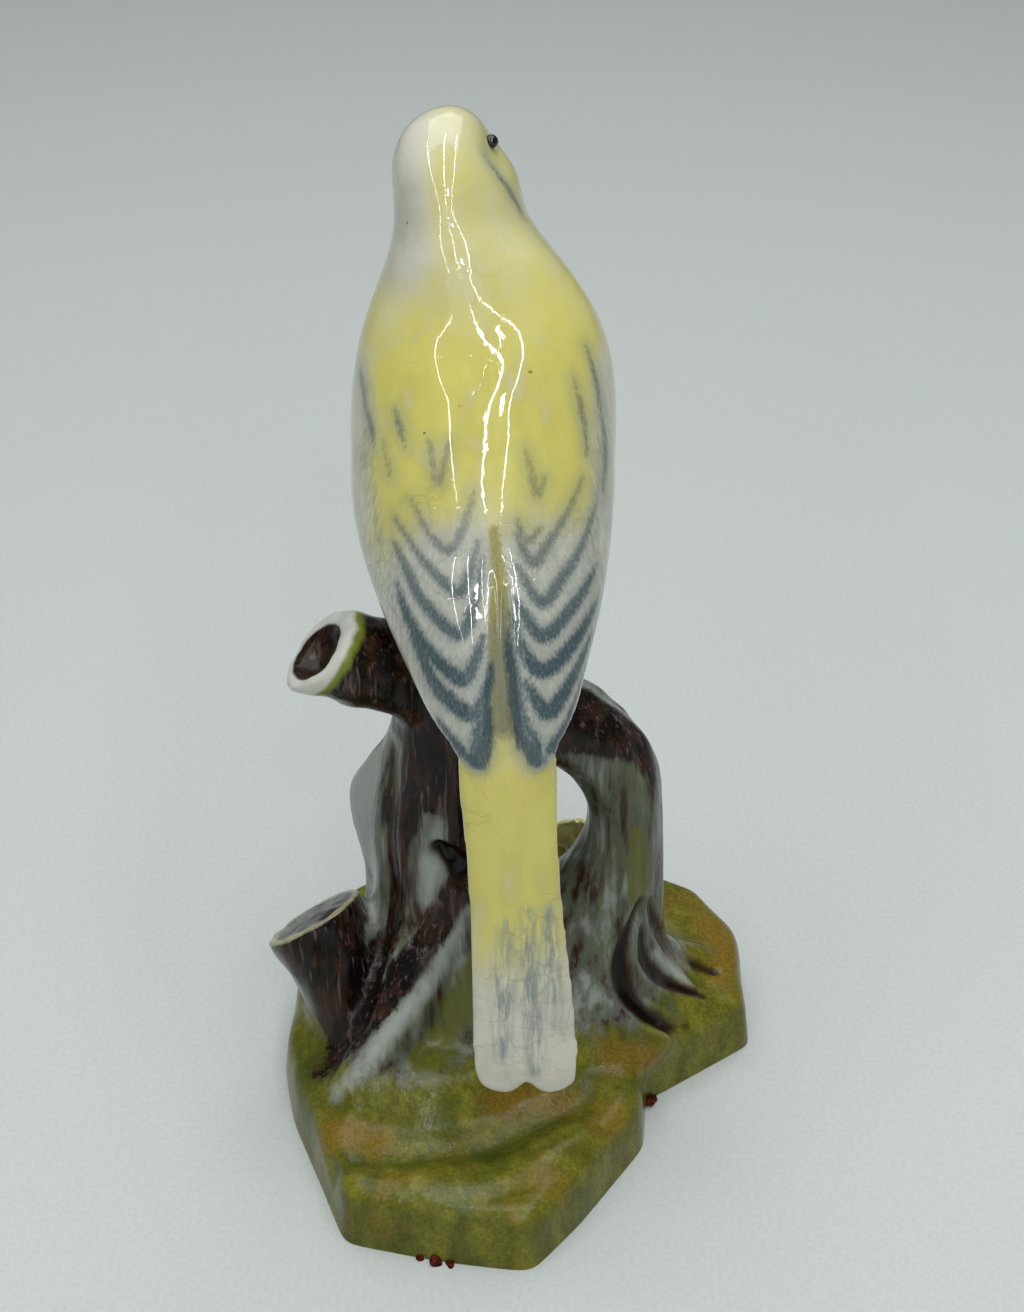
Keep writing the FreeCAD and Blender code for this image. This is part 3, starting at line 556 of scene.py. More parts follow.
def stump_casting():
    """The whole stump and rock as one smoothed, painted and sculpted skin."""
    plugs = [ball("plug", *STUMP_PLUG), ball("plug", *BASE_PLUG)]
    stump = casting("stump_casting", STUMP_NODES, plugs, 0.6)
    spots = points(stump)
    from_tear = np.abs((spots - np.array(TORN_END[0])) @ np.array(TORN_END[1]))
    cut = np.exp(-(from_tear / 1.4) ** 2) * (spots[:, 0] < -22)
    weigh(stump, "soft", 1 - 0.8 * cut - 0.6 * ease(1.5, 0.0, spots[:, 2]))
    soften(stump, "soft", 70)
    slice_off(stump, (0, 0, 0), (0, 0, -1))
    bpy.ops.mesh.primitive_cylinder_add(vertices=48, radius=3.5 * MM, depth=8 * MM,
                                        location=mm(-14.0, 12.0, 1.0))
    drill = bpy.context.object
    press(stump, "BOOLEAN", object=drill, operation="DIFFERENCE", solver="EXACT")
    bpy.data.objects.remove(drill)
    paint_strokes(stump)
    spots, normals = points(stump), outward(stump)
    flow = lumps(spots, (2.6, 2.6, 24.0), 1) * 0.42 + lumps(spots, (7.0, 7.0, 14.0), 2) * 0.55
    ground = lumps(spots, (11.0, 11.0, 11.0), 3) * 0.55
    above = ease(11.0, 22.0, spots[:, 2])
    move = flow * above + ground * (1 - above)
    for stroke, depth in HOLLOWS:
        move -= depth * ease(1.3, -0.9, reach(spots, *stroke))
    for stroke, depth in GROOVES:
        move -= depth * ease(3.2, -0.8, reach(spots, *stroke))
    place(stump, spots + normals * (move * ease(0.4, 3.0, spots[:, 2]))[:, None])
    weigh(stump, "soft", ease(0.4, 3.0, spots[:, 2]))
    soften(stump, "soft", 4)
    stump.vertex_groups.clear()
    # The bend is negative on ridges and positive in creases; the glaze uses it for paler ridges and darker
    # creases, partly as painted highlight and painted shade.
    smooth = twin(stump, "smooth_copy")
    press(smooth, "SMOOTH", factor=0.5, iterations=24)
    bend = ((points(smooth) - points(stump)) * outward(stump)).sum(axis=1)
    bpy.data.objects.remove(smooth)
    paint(stump, "bend", bend)
    return stump


def paint_strokes(stump):
    """Stores where each kind of brush stroke and patch lies on the stump."""
    spots = points(stump)
    for name, strokes in (("brown", BROWN), ("pale", PALE), ("green", GREEN), ("ochre", OCHRE),
                          ("hollow", [stroke for stroke, _ in HOLLOWS])):
        paint(stump, name, np.minimum.reduce([reach(spots, *stroke) for stroke in strokes]))
    paint(stump, "ground", ease(20.0, 12.5, spots[:, 2] + 2.5 * lumps(spots, (9, 9, 9), 5)))
    middle, way = (np.array(v) for v in SOCKET)
    along = (spots - middle) @ way
    across = np.linalg.norm(spots - middle - along[:, None] * way, axis=1)
    near = (spots[:, 0] < -18) & (spots[:, 2] > 70)
    paint(stump, "socket", np.where(near, across - 4.9 + 0.2 * np.clip(along, -3, 0), 50.0))
    paint(stump, "lip", np.where(near, -along - 2.2 + 0.30 * (spots[:, 0] + 28), 50.0))
    middle, way = (np.array(v) for v in TORN_END)
    along = (spots - middle) @ way
    low = (spots[:, 0] < -22) & (spots[:, 2] < 46)
    across = np.linalg.norm(spots - middle - along[:, None] * way, axis=1)
    rim = np.maximum.reduce([np.abs(along) - 0.2, 7.2 - across, across - 10.0])
    paint(stump, "torn", np.where(low, rim, 50.0))


def stump_pieces(stump):
    keep_normals(stump)
    out = [split(stump, spot, way, name) for name, spot, way in CUTS]
    stump.name = "stump_trunk_piece"
    return [stump] + out


# ---- small hand-built pieces --------------------------------------------------------------------
def tube(name, knots, radii):
    """A round tapering rod with closed ends along a smooth line, in millimetres."""
    line = curve_through(knots, 5)
    wide = np.interp(np.linspace(0, 1, len(line)), np.linspace(0, 1, len(radii)), radii)
    shape = bpy.data.curves.new(name, "CURVE")
    shape.dimensions = "3D"
    shape.bevel_depth = 1.0 * MM
    shape.bevel_resolution = 5
    shape.use_fill_caps = True
    spline = shape.splines.new("POLY")
    spline.points.add(len(line) - 1)
    for point, spot, radius in zip(spline.points, line, wide):
        point.co = (*(spot * MM), 1.0)
        point.radius = radius
    rod = bpy.data.objects.new(name, shape)
    bpy.context.scene.collection.objects.link(rod)
    pick(rod)
    bpy.ops.object.convert(target="MESH")
    return bpy.context.object


def blend_rods(name, rods, grain, rounds=6):
    """Rods and balls melted into one smooth modelled lump."""
    lump = join(name, *rods)
    press(lump, "REMESH", mode="VOXEL", voxel_size=grain * MM)
    press(lump, "SMOOTH", factor=0.5, iterations=rounds)
    bpy.ops.object.shade_smooth()
    return lump


def make_eyes():
    beads = [ball("bead", -2.9, 22.2, 157.8, 1.0), ball("bead", -13.1, 25.9, 157.8, 1.0)]
    eyes = join("eye_beads_piece", *beads)
    bpy.ops.object.shade_smooth()
    return eyes


def make_beak():
    """A short hooked beak under a rounded cere, on the turned head."""
    way = Vector((0.34, 0.94, 0.0))
    root = Vector((-5.0, 30.2, 153.2))
    hook = [root - way * 1.6 + Vector((0, 0, 0.6)), root + way * 1.2 + Vector((0, 0, -0.4)),
            root + way * 2.2 + Vector((0, 0, -2.6)), root + way * 1.5 + Vector((0, 0, -4.6))]
    under = [root - way * 0.8 + Vector((0, 0, -3.0)), root + way * 0.9 + Vector((0, 0, -4.2))]
    rods = [tube("hook", [tuple(p) for p in hook], (2.3, 2.0, 1.4, 0.4)),
            tube("under", [tuple(p) for p in under], (1.6, 0.8)),
            ball("cere", *(root + Vector((0.9, -0.5, 1.1))), 1.3),
            ball("cere", *(root + Vector((-0.9, 0.5, 1.1))), 1.3)]
    return blend_rods("beak_piece", rods, 0.22)


def make_foot(name, x):
    """A scaled shank with three toes and a hind toe, gripping the top of the stump."""
    rods = [tube("shank", [(x, 4.6, 102.0), (x, 7.4, 96.0), (x, 9.4, 91.4)], (2.5, 1.8, 1.6)),
            ball("ankle", x, 9.6, 91.0, 1.8)]
    for turn, drop in ((-2.9, 1.6), (0.1, 0.0), (3.0, 1.6)):
        rods.append(tube("toe", [(x, 9.4, 91.4), (x + turn * 0.6, 12.4, 91.4 - drop * 0.3),
                                 (x + turn, 15.4, 90.0 - drop), (x + turn * 1.1, 17.4, 86.8 - drop)],
                         (1.5, 1.25, 1.05, 0.5)))
    rods.append(tube("toe", [(x, 9.4, 91.2), (x * 0.94, 6.6, 91.6)], (1.4, 0.8)))
    return blend_rods(name, rods, 0.3, 4)


def blade(name, root, tip, up, width, cup, ripple=0.0, thickness=0.7):
    """A leaf or petal: a grid bent to an outline, with a vein and a cupped section."""
    bpy.ops.mesh.primitive_grid_add(x_subdivisions=24, y_subdivisions=14, size=2)
    leaf = bpy.context.object
    leaf.name = name
    root, tip, up = Vector(root), Vector(tip), Vector(up).normalized()
    along = tip - root
    across = along.cross(up).normalized()
    lift = across.cross(along).normalized()
    flat = points(leaf) * MM
    spots = []
    for u, v, _ in flat:
        s = (u + 1) / 2
        half = width * (math.sin(math.pi * min(1.0, 0.06 + 0.94 * s) ** 0.8)) ** 0.75 / 2
        sag = cup * (v * v * 0.6 + math.sin(math.pi * s) * 0.5) + ripple * math.sin(9 * s + 3 * v) * abs(v)
        groove = -0.35 * math.exp(-(v / 0.12) ** 2)
        spots.append(root + along * s + across * (v * half) + lift * (sag + groove))
    place(leaf, np.array([tuple(spot) for spot in spots]))
    press(leaf, "SOLIDIFY", thickness=thickness * MM, offset=0.0)
    press(leaf, "SUBSURF", levels=1)
    bpy.ops.object.shade_smooth()
    return leaf


def make_flower():
    """Five petals round a domed eye, with a calyx that roots it on the rock."""
    middle = Vector((11.9, 28.6, 24.2))
    faces = Vector((0.20, 0.88, 0.43)).normalized()
    across = faces.cross(Vector((0, 0, 1))).normalized()
    rise = across.cross(faces).normalized()
    petals = []
    for i in range(5):
        turn = math.radians(90 + 72 * i)
        way = across * math.cos(turn) + rise * math.sin(turn)
        petals.append(blade("petal", middle + way * 0.8, middle + way * 8.6 + faces * 1.6, faces, 9.0,
                            0.9, 0.35, 0.9))
    whorl = join("flower_petals_piece", *petals)
    eye = ball("flower_eye_piece", *(middle + faces * 0.7), 2.1)
    bpy.ops.object.shade_smooth()
    calyx = tube("flower_calyx_piece", [tuple(middle - faces * 8.0), tuple(middle - faces * 4.0),
                                        tuple(middle - faces * 0.4)],
                 (2.9, 1.6, 2.4))
    bpy.ops.object.shade_smooth()
    return whorl, eye, calyx


def make_leaves():
    right = blade("leaf_right_piece", (14.8, 24.4, 16.4), (24.6, 34.4, 14.9), (0.1, 0.1, 1.0), 6.4, 0.9)
    left = blade("leaf_left_piece", (1.2, 25.4, 17.4), (-11.4, 30.0, 17.0), (0.0, 0.2, 1.0), 6.4, 0.8)
    upper = blade("leaf_upper_piece", (1.6, 20.4, 25.0), (-3.2, 25.4, 35.8), (0.3, 0.9, 0.1), 6.0, -0.8)
    return right, left, upper


def make_putty():
    """Crumbs of dark museum wax left at the rim."""
    crumbs = []
    for x, y, z, size, seed in ((23.0, -9.6, 1.0, 1.2, 1), (-12.0, -43.2, 0.3, 1.0, 2),
                                (-9.6, -43.6, 0.2, 0.7, 4), (-14.4, -42.6, 0.2, 0.6, 5),
                                (23.9, -8.8, 0.5, 0.7, 3)):
        bpy.ops.mesh.primitive_ico_sphere_add(subdivisions=4, radius=size * MM, location=mm(x, y, z))
        crumb = bpy.context.object
        freeze()
        spots = points(crumb)
        spots += outward(crumb) * (lumps(spots, (1.1, 1.1, 1.1), seed) * 0.55)[:, None]
        spots[:, 2] = np.maximum(spots[:, 2], 0.0)
        place(crumb, spots)
        crumbs.append(crumb)
    wax = join("putty_flakes_piece", *crumbs)
    bpy.ops.object.shade_smooth()
    return wax


# ---- materials ----------------------------------------------------------------------------------
def hue(code):
    """Linear colour from an sRGB hex code."""
    parts = [int(code[i:i + 2], 16) / 255 for i in (1, 3, 5)]
    return tuple(c / 12.92 if c <= 0.04045 else ((c + 0.055) / 1.055) ** 2.4 for c in parts) + (1.0,)


def add(tree, kind, inputs=None, **settings):
    """Adds one node, sets it, and fills or links its sockets."""
    made = tree.nodes.new(kind)
    for key, value in settings.items():
        setattr(made, key, value)
    for key, value in (inputs or {}).items():
        if isinstance(value, bpy.types.NodeSocket):
            tree.links.new(value, made.inputs[key])
        else:
            made.inputs[key].default_value = value
    return made


def stored(tree, name):
    return add(tree, "ShaderNodeAttribute", attribute_name=name).outputs["Fac"]


def spread(tree, size, stretch=(1, 1, 1), detail=3.0, rough=0.55, shift=0.0):
    """Noise from 0 to 1 whose lumps are about size mm, stretched along an axis."""
    spot = add(tree, "ShaderNodeTexCoord").outputs["Object"]
    scaled = add(tree, "ShaderNodeMapping", {"Vector": spot, "Scale": tuple(1 / s for s in stretch),
                                             "Location": (shift, shift, shift)})
    return add(tree, "ShaderNodeTexNoise", {"Vector": scaled.outputs["Vector"], "Scale": 1000.0 / size,
                                            "Detail": detail, "Roughness": rough}).outputs["Fac"]


def calc(tree, kind, a, b=0.0, c=0.0):
    return add(tree, "ShaderNodeMath", {0: a, 1: b, 2: c}, operation=kind).outputs[0]


def step(tree, value, low, high, to=1.0):
    """Smooth step of a value: 0 at low, to at high."""
    return add(tree, "ShaderNodeMapRange", {"Value": value, "From Min": low, "From Max": high, "To Max": to},
               interpolation_type="SMOOTHSTEP").outputs["Result"]


def over(tree, under, colour, cover, kind="MIX"):
    """Lays a colour over another by a cover from 0 to 1."""
    return add(tree, "ShaderNodeMix", {0: cover, 6: under, 7: colour}, data_type="RGBA",
               blend_type=kind).outputs[2]


def crackle(tree, size, stretch, shift=0.0):
    """0 on the hairline cracks of a crazed glaze, 1 elsewhere; cells of about size mm."""
    spot = add(tree, "ShaderNodeTexCoord").outputs["Object"]
    wobble = add(tree, "ShaderNodeTexNoise",
                 {"Vector": spot, "Scale": 320.0, "Detail": 2.0}).outputs["Color"]
    moved = add(tree, "ShaderNodeMix", {0: 0.0035, 4: spot, 5: wobble}, data_type="VECTOR").outputs[1]
    scaled = add(tree, "ShaderNodeMapping", {"Vector": moved, "Scale": tuple(1 / s for s in stretch),
                                             "Location": (shift, shift, shift)})
    cells = add(tree, "ShaderNodeTexVoronoi", {"Vector": scaled.outputs["Vector"], "Scale": 1000.0 / size},
                feature="DISTANCE_TO_EDGE")
    return step(tree, cells.outputs["Distance"], 0.004, 0.03)


def material(name):
    made = bpy.data.materials.new(name)
    made.use_nodes = True
    made.node_tree.nodes.clear()
    return made, made.node_tree


def glaze(made, tree, colour, rough, heights, coat=1.0, depth=0.25):
    """A porcelain body under a clear glaze: colour, roughness, and (height, mm) pairs of relief."""
    normal = None
    for height, relief in heights:
        sockets = {"Height": height, "Strength": 1.0, "Distance": relief * MM}
        if normal is not None:
            sockets["Normal"] = normal
        normal = add(tree, "ShaderNodeBump", sockets).outputs["Normal"]
    body = add(tree, "ShaderNodeBsdfPrincipled", {
        "Base Color": colour, "Roughness": rough, "IOR": 1.5, "Specular IOR Level": 0.05,
        "Coat Weight": coat, "Coat Roughness": 0.03,
        "Coat IOR": 1.5, "Subsurface Weight": depth, "Subsurface Radius": (1.0, 0.8, 0.55),
        "Subsurface Scale": 0.9 * MM})
    if normal is not None:
        tree.links.new(normal, body.inputs["Normal"])
        tree.links.new(normal, body.inputs["Coat Normal"])
    out = add(tree, "ShaderNodeOutputMaterial")
    tree.links.new(body.outputs[0], out.inputs["Surface"])
    return made


def plumage_glaze(name, slot_shift):
    """Hand-painted bird porcelain: yellow wash, combed blue bars, olive stripe, specks and crazing."""
    made, tree = material(name)
    colours = look()
    mottle = spread(tree, 9.0, detail=4.0)
    drift = spread(tree, 4.0, (1, 1, 4), detail=3.0, shift=7.0)
    grain = spread(tree, 0.7, detail=3.0)
    comb = spread(tree, 0.75, (1, 1, 9), detail=3.0, rough=0.6)
    barbs = spread(tree, 0.34, (1, 1, 11), detail=2.0, rough=0.5)
    fine = spread(tree, 0.3, (1, 1, 6), detail=2.0)
    # The bare glaze is a warm grey white, a little uneven as it pooled in the kiln.
    colour = over(tree, colours.bare, hue("#9fa094"), step(tree, mottle, 0.42, 0.72, 0.5))
    # The yellow wash was laid with a soft brush, so its edge is broken and its strength drifts.
    warm = calc(tree, "MULTIPLY_ADD", mottle, 0.55, calc(tree, "ADD", stored(tree, "warm"), -0.29))
    warm = calc(tree, "MULTIPLY_ADD", comb, 0.20, calc(tree, "ADD", warm, -0.10))
    colour = over(tree, colour, colours.yellow, step(tree, warm, 0.05, 0.95))
    colour = over(tree, colour, colours.deep_yellow,
                  step(tree, calc(tree, "MULTIPLY", drift, warm), 0.36, 0.70, 0.6))
    colour = over(tree, colour, colours.bare, step(tree, drift, 0.52, 0.74, 0.38))
    # Olive down the middle of the back, thin enough to show the white below.
    olive = calc(tree, "MULTIPLY_ADD", fine, 1.3, calc(tree, "ADD", stored(tree, "stripe"), -0.65))
    colour = over(tree, colour, hue("#8f8536"), step(tree, olive, 0.8, -0.2, 0.9))
    colour = over(tree, colour, colours.olive,
                  step(tree, calc(tree, "MULTIPLY_ADD", comb, 1.4, olive), 0.4, -0.5, 0.7))
    # Grey-blue dry brushing on the flanks and the tail.
    wash = calc(tree, "MULTIPLY", stored(tree, "wash"), step(tree, comb, 0.30, 0.64))
    colour = over(tree, colour, colours.grey_blue, wash)
    # The feather bars, combed along the feathers at both edges and darker towards the tips.
    bars = calc(tree, "MULTIPLY_ADD", barbs, 1.3, calc(tree, "ADD", stored(tree, "bars"), -0.76))
    bars = calc(tree, "MULTIPLY_ADD", comb, 0.7, calc(tree, "ADD", bars, -0.35))
    halo = calc(tree, "MULTIPLY", step(tree, bars, 2.6, 0.0, 0.5), stored(tree, "bar_tone"))
    colour = over(tree, colour, colours.grey_blue, halo)
    cover = calc(tree, "MULTIPLY", step(tree, bars, 0.55, -0.50), stored(tree, "bar_tone"))
    cover = calc(tree, "MULTIPLY", cover, step(tree, fine, -0.35, 0.62))
    colour = over(tree, colour, colours.bar_blue, cover)
    specks = calc(tree, "MULTIPLY_ADD", grain, 0.5, stored(tree, "specks"))
    colour = over(tree, colour, hue("#5a4328"), step(tree, specks, 0.62, 0.42, 0.85))
    # Crazing: hairlines that show only in patches, a little brown with age.
    cracks = crackle(tree, 4.6, (1.7, 1.7, 1.0), slot_shift)
    patch = step(tree, spread(tree, 16.0, shift=3.0, detail=1.0), 0.42, 0.60)
    line = calc(tree, "MULTIPLY", calc(tree, "SUBTRACT", 1.0, cracks),
                calc(tree, "MULTIPLY", patch, stored(tree, "crazed")))
    colour = over(tree, colour, hue("#6f6b52"), calc(tree, "MULTIPLY", line, 0.24))
    colour = over(tree, colour, hue("#c4c2ad"), step(tree, grain, 0.60, 0.80, 0.2))
    return glaze(made, tree, colour, 0.16, [(mottle, 0.07), (spread(tree, 2.2), 0.006), (line, -0.02)])


def bark_glaze(name, slot_shift):
    """Painted stump and rock porcelain: brown brush streaks over grey-green, pale where worn thin; ridges
    paler and the ground's creases darker, partly as painted highlight and painted shade.
    """
    made, tree = material(name)
    colours = look()
    mottle = spread(tree, 7.0, detail=4.0)
    streak = spread(tree, 1.0, (1, 1, 12), detail=4.0, rough=0.62)
    cloud = spread(tree, 3.0, (1, 1, 2.5), detail=5.0, rough=0.62, shift=2.0)
    grain = spread(tree, 0.55, detail=3.0)
    bend = stored(tree, "bend")
    # Thin grey-green undercoat, paler on the ridges, partly where the glaze runs off them and partly as a
    # painted highlight.
    colour = over(tree, colours.bark_grey, colours.bark_green, step(tree, mottle, 0.38, 0.62))
    colour = over(tree, colour, hue("#3c3c34"), step(tree, cloud, 0.42, 0.68, 0.6))
    # Loose streaks down the bark on every side.
    runs = spread(tree, 2.6, (1, 1, 9), detail=5.0, rough=0.6, shift=11.0)
    colour = over(tree, colour, colours.bark_pale, step(tree, runs, 0.48, 0.32, 0.5))
    colour = over(tree, colour, colours.purple, step(tree, runs, 0.50, 0.60, 0.6))
    colour = over(tree, colour, colours.brown, step(tree, runs, 0.55, 0.66, 0.9))
    green = calc(tree, "MULTIPLY_ADD", cloud, 4.0, calc(tree, "ADD", stored(tree, "green"), -2.0))
    colour = over(tree, colour, colours.moss, step(tree, green, 0.8, -0.8, 0.85))
    # The ground: mossy green and ochre stippled with a stiff brush.
    turf = over(tree, colours.moss, colours.moss_light, step(tree, cloud, 0.36, 0.72, 0.7))
    turf = over(tree, turf, colours.moss_dark, step(tree, spread(tree, 15.0, shift=5.0), 0.46, 0.70, 0.8))
    ochre = calc(tree, "MULTIPLY_ADD", mottle, 7.0, calc(tree, "ADD", stored(tree, "ochre"), -3.5))
    turf = over(tree, turf, colours.ochre, step(tree, ochre, 2.4, -2.4, 0.9))
    turf = over(tree, turf, colours.ochre, step(tree, spread(tree, 13.0, shift=9.0), 0.52, 0.70, 0.6))
    turf = over(tree, turf, hue("#201e08"), step(tree, grain, 0.56, 0.40, 0.3))
    # By the bend the ground's ridge tops are lighter and its creases darker: partly glaze run thin and
    # pooled, partly painted highlight and painted shade.
    turf = over(tree, turf, colours.moss_light, step(tree, bend, -0.06, -0.34, 0.55))
    turf = over(tree, turf, colours.moss_dark, step(tree, bend, 0.02, 0.26, 0.7))
    colour = over(tree, colour, turf,
                  step(tree, calc(tree, "MULTIPLY_ADD", cloud, 0.9, stored(tree, "ground")), 0.55, 1.1))
    # White-grey bands left unpainted between the brush strokes.
    pale = calc(tree, "MULTIPLY_ADD", streak, 3.0, calc(tree, "ADD", stored(tree, "pale"), -1.5))
    colour = over(tree, colour, colours.bark_pale, step(tree, pale, 1.8, -1.4, 0.8))
    # Ridges paler by the bend: partly glaze run thin, partly a painted highlight.
    colour = over(tree, colour, colours.bark_pale, step(tree, bend, -0.16, -0.44, 0.35))
    # Brown and purple-brown strokes that follow the grain, with dry ends.
    brown = calc(tree, "MULTIPLY_ADD", streak, 3.4, calc(tree, "ADD", stored(tree, "brown"), -1.7))
    cover = step(tree, brown, 0.65, -0.55, 0.97)
    wood = over(tree, colours.brown, colours.purple, step(tree, streak, 0.46, 0.66, 0.75))
    wood = over(tree, wood, colours.black_brown, step(tree, cloud, 0.40, 0.55))
    wood = over(tree, wood, hue("#6a5358"), step(tree, spread(tree, 0.8, (1, 1, 16)), 0.56, 0.70, 0.6))
    colour = over(tree, colour, wood, cover)
    hollow = calc(tree, "MULTIPLY_ADD", cloud, 1.2, calc(tree, "ADD", stored(tree, "hollow"), -0.6))
    colour = over(tree, colour, colours.brown, step(tree, hollow, 0.9, -0.2))
    colour = over(tree, colour, hue("#050201"), step(tree, hollow, 0.2, -0.8))
    # The sawn branch: yellow-green behind a worn white lip, a brown socket in it.
    lip = calc(tree, "MULTIPLY_ADD", cloud, 2.4, calc(tree, "ADD", stored(tree, "lip"), -1.2))
    colour = over(tree, colour, colours.lip_green, step(tree, lip, 2.6, 1.2, 0.9))
    colour = over(tree, colour, colours.lip, step(tree, lip, 1.0, -0.1))
    socket = calc(tree, "MULTIPLY_ADD", cloud, 0.8, calc(tree, "ADD", stored(tree, "socket"), -0.4))
    colour = over(tree, colour, over(tree, colours.socket, hue("#140b06"), step(tree, streak, 0.45, 0.62)),
                  step(tree, socket, 0.35, -0.25))
    torn = calc(tree, "MULTIPLY_ADD", cloud, 0.9, calc(tree, "ADD", stored(tree, "torn"), -0.45))
    colour = over(tree, colour, hue("#b3aa80"), step(tree, torn, 0.3, -0.2, 0.7))
    line = calc(tree, "SUBTRACT", 1.0, crackle(tree, 3.4, (1, 1, 1.3), slot_shift))
    return glaze(made, tree, colour, 0.22, [(mottle, 0.20), (streak, 0.08), (grain, 0.03), (line, -0.01)],
                 coat=0.32, depth=0.05)


def tinted_glaze(name, base, shade, size, rough=0.14, relief=0.05):
    """One painted glaze colour that pools darker in the low places."""
    made, tree = material(name)
    pooled = spread(tree, size, detail=4.0)
    colour = over(tree, base, shade, step(tree, pooled, 0.40, 0.68))
    colour = over(tree, colour, shade, step(tree, spread(tree, size / 5), 0.58, 0.75, 0.35))
    return glaze(made, tree, colour, rough, [(pooled, relief)], depth=0.1)


def wax():
    """Dull red-brown museum wax, torn at the edges."""
    made, tree = material("museum_wax_red_brown")
    lump = spread(tree, 0.8)
    colour = over(tree, hue("#5a2016"), hue("#2c0f0b"), step(tree, lump, 0.4, 0.6))
    return glaze(made, tree, colour, 0.55, [(lump, 0.15)], coat=0.0, depth=0.0)


# ---- settings -----------------------------------------------------------------------------------
def colour_setting(label, code, what):
    return FloatVectorProperty(name=label, description=what, default=hue(code), subtype="COLOR", size=4,
                               min=0, max=1)


class FigurineSettings(bpy.types.PropertyGroup):
    """Sizes and glaze colours of the figurine."""
    wing_relief: FloatProperty(name="Wing relief", description="How far the folded wings stand proud",
                               default=0.0007, unit="LENGTH", min=0, max=0.003)
    bare: colour_setting("Bare glaze", "#c4c1b2", "Unpainted bird porcelain")
    yellow: colour_setting("Yellow wash", "#c4bc66", "Back and tail")
    deep_yellow: colour_setting("Deep yellow", "#b1a74d", "Where the yellow pooled")
    olive: colour_setting("Olive stripe", "#5f5626", "Between the wings")
    grey_blue: colour_setting("Grey-blue wash", "#76807f", "Flanks and tail streaks")
    bar_blue: colour_setting("Bar blue", "#32474f", "Feather bars")
    bark_grey: colour_setting("Bark grey", "#5d6159", "Undercoat of the stump")
    bark_green: colour_setting("Bark grey-green", "#565c45", "Greener undercoat")
    # Also laid on the ridges by the bend, partly as a painted highlight.
    bark_pale: colour_setting("Worn white", "#9da29d", "Ridges and unpainted bands")
    brown: colour_setting("Bark brown", "#2c1509", "Brush strokes")
    purple: colour_setting("Purple brown", "#41302f", "Thin brush strokes")
    black_brown: colour_setting("Black brown", "#0b0604", "Thick brush strokes")
    moss: colour_setting("Moss green", "#58591a", "Ground")
    # Also laid on the ground's ridge tops by the bend, partly as a painted highlight.
    moss_light: colour_setting("Light moss", "#837f2a", "Ground where rubbed")
    # Also laid in the ground's creases by the bend, partly as painted shade.
    moss_dark: colour_setting("Dark moss", "#374313", "Ground where thick")
    ochre: colour_setting("Ochre", "#7c6120", "Patches on the ground")
    lip: colour_setting("Sawn lip", "#b9b9b1", "Rim of the sawn branch")
    lip_green: colour_setting("Lip green", "#6f7a2a", "Behind the sawn rim")
    socket: colour_setting("Socket brown", "#2c1c13", "Middle of the sawn branch")
    floor: colour_setting("Floor", "#b8bcba", "Studio paper")


def look():
    return bpy.context.scene.figurine


def dress(piece, made, slot, *nodes):
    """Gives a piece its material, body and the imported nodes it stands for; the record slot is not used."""
    piece.data.materials.clear()
    piece.data.materials.append(made)
    piece.data.name = piece.name
    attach(piece, "root")
    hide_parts(*nodes)


# ---- operators ----------------------------------------------------------------------------------
class FIGURINE_OT_bird(bpy.types.Operator):
    """Build the bird's body, head, tail and wings from one casting"""
    bl_idname = "figurine.bird"
    bl_label = "Bird"

    def execute(self, context):
        bird = bird_casting()
        body, head, tail, left, right = bird_pieces(bird)
        plumage = plumage_glaze("porcelain_plumage_painted", 0.0)
        wings = plumage_glaze("porcelain_wing_painted", 0.0)
        tails = plumage_glaze("porcelain_tail_painted", 0.0)
        dress(body, plumage, "painted_plumage", "bird_body")
        dress(head, plumage, "painted_plumage", "bird_head")
        dress(tail, tails, "painted_tail", "bird_tail")
        dress(left, wings, "painted_wing", "left_wing")
        dress(right, wings, "painted_wing", "right_wing")
        for piece in (body, head, tail, left, right):
            use_normals(piece)
        return {"FINISHED"}


class FIGURINE_OT_stump(bpy.types.Operator):
    """Build the rock, the trunk and its branches from one casting"""
    bl_idname = "figurine.stump"
    bl_label = "Stump and rock"

    def execute(self, context):
        stump = stump_casting()
        trunk, rock, arch, upper, lower = stump_pieces(stump)
        bark = bark_glaze("porcelain_bark_painted", 0.0)
        dress(trunk, bark, "painted_bark", "stump_trunk")
        dress(arch, bark, "painted_bark", "arched_branch")
        dress(upper, bark, "painted_bark", "upper_branch_stub")
        dress(lower, bark, "painted_bark", "lower_branch_stub")
        dress(rock, bark_glaze("porcelain_rock_painted", 0.0), "painted_rock", "rock_base")
        for piece in (trunk, rock, arch, upper, lower):
            use_normals(piece)
        return {"FINISHED"}


class FIGURINE_OT_face(bpy.types.Operator):
    """Build the eyes and the beak"""
    bl_idname = "figurine.face"
    bl_label = "Eyes and beak"

    def execute(self, context):
        dress(make_eyes(),
              tinted_glaze("porcelain_black_glaze", hue("#0b0a0a"), hue("#1a1512"), 1.5, 0.05, 0.01),
              "black_glaze", "eye_beads")
        dress(make_beak(), tinted_glaze("porcelain_horn_glaze", hue("#c9a77a"), hue("#8f6a44"), 2.5),
              "horn_glaze", "beak")
        return {"FINISHED"}


class FIGURINE_OT_feet(bpy.types.Operator):
    """Build both feet"""
    bl_idname = "figurine.feet"
    bl_label = "Feet"

    def execute(self, context):
        pink = tinted_glaze("porcelain_pink_glaze", hue("#c79a8c"), hue("#8e6257"), 2.0)
        dress(make_foot("left_foot_piece", -9.7), pink, "pink_glaze", "left_foot")
        dress(make_foot("right_foot_piece", 1.3), pink, "pink_glaze", "right_foot")
        return {"FINISHED"}


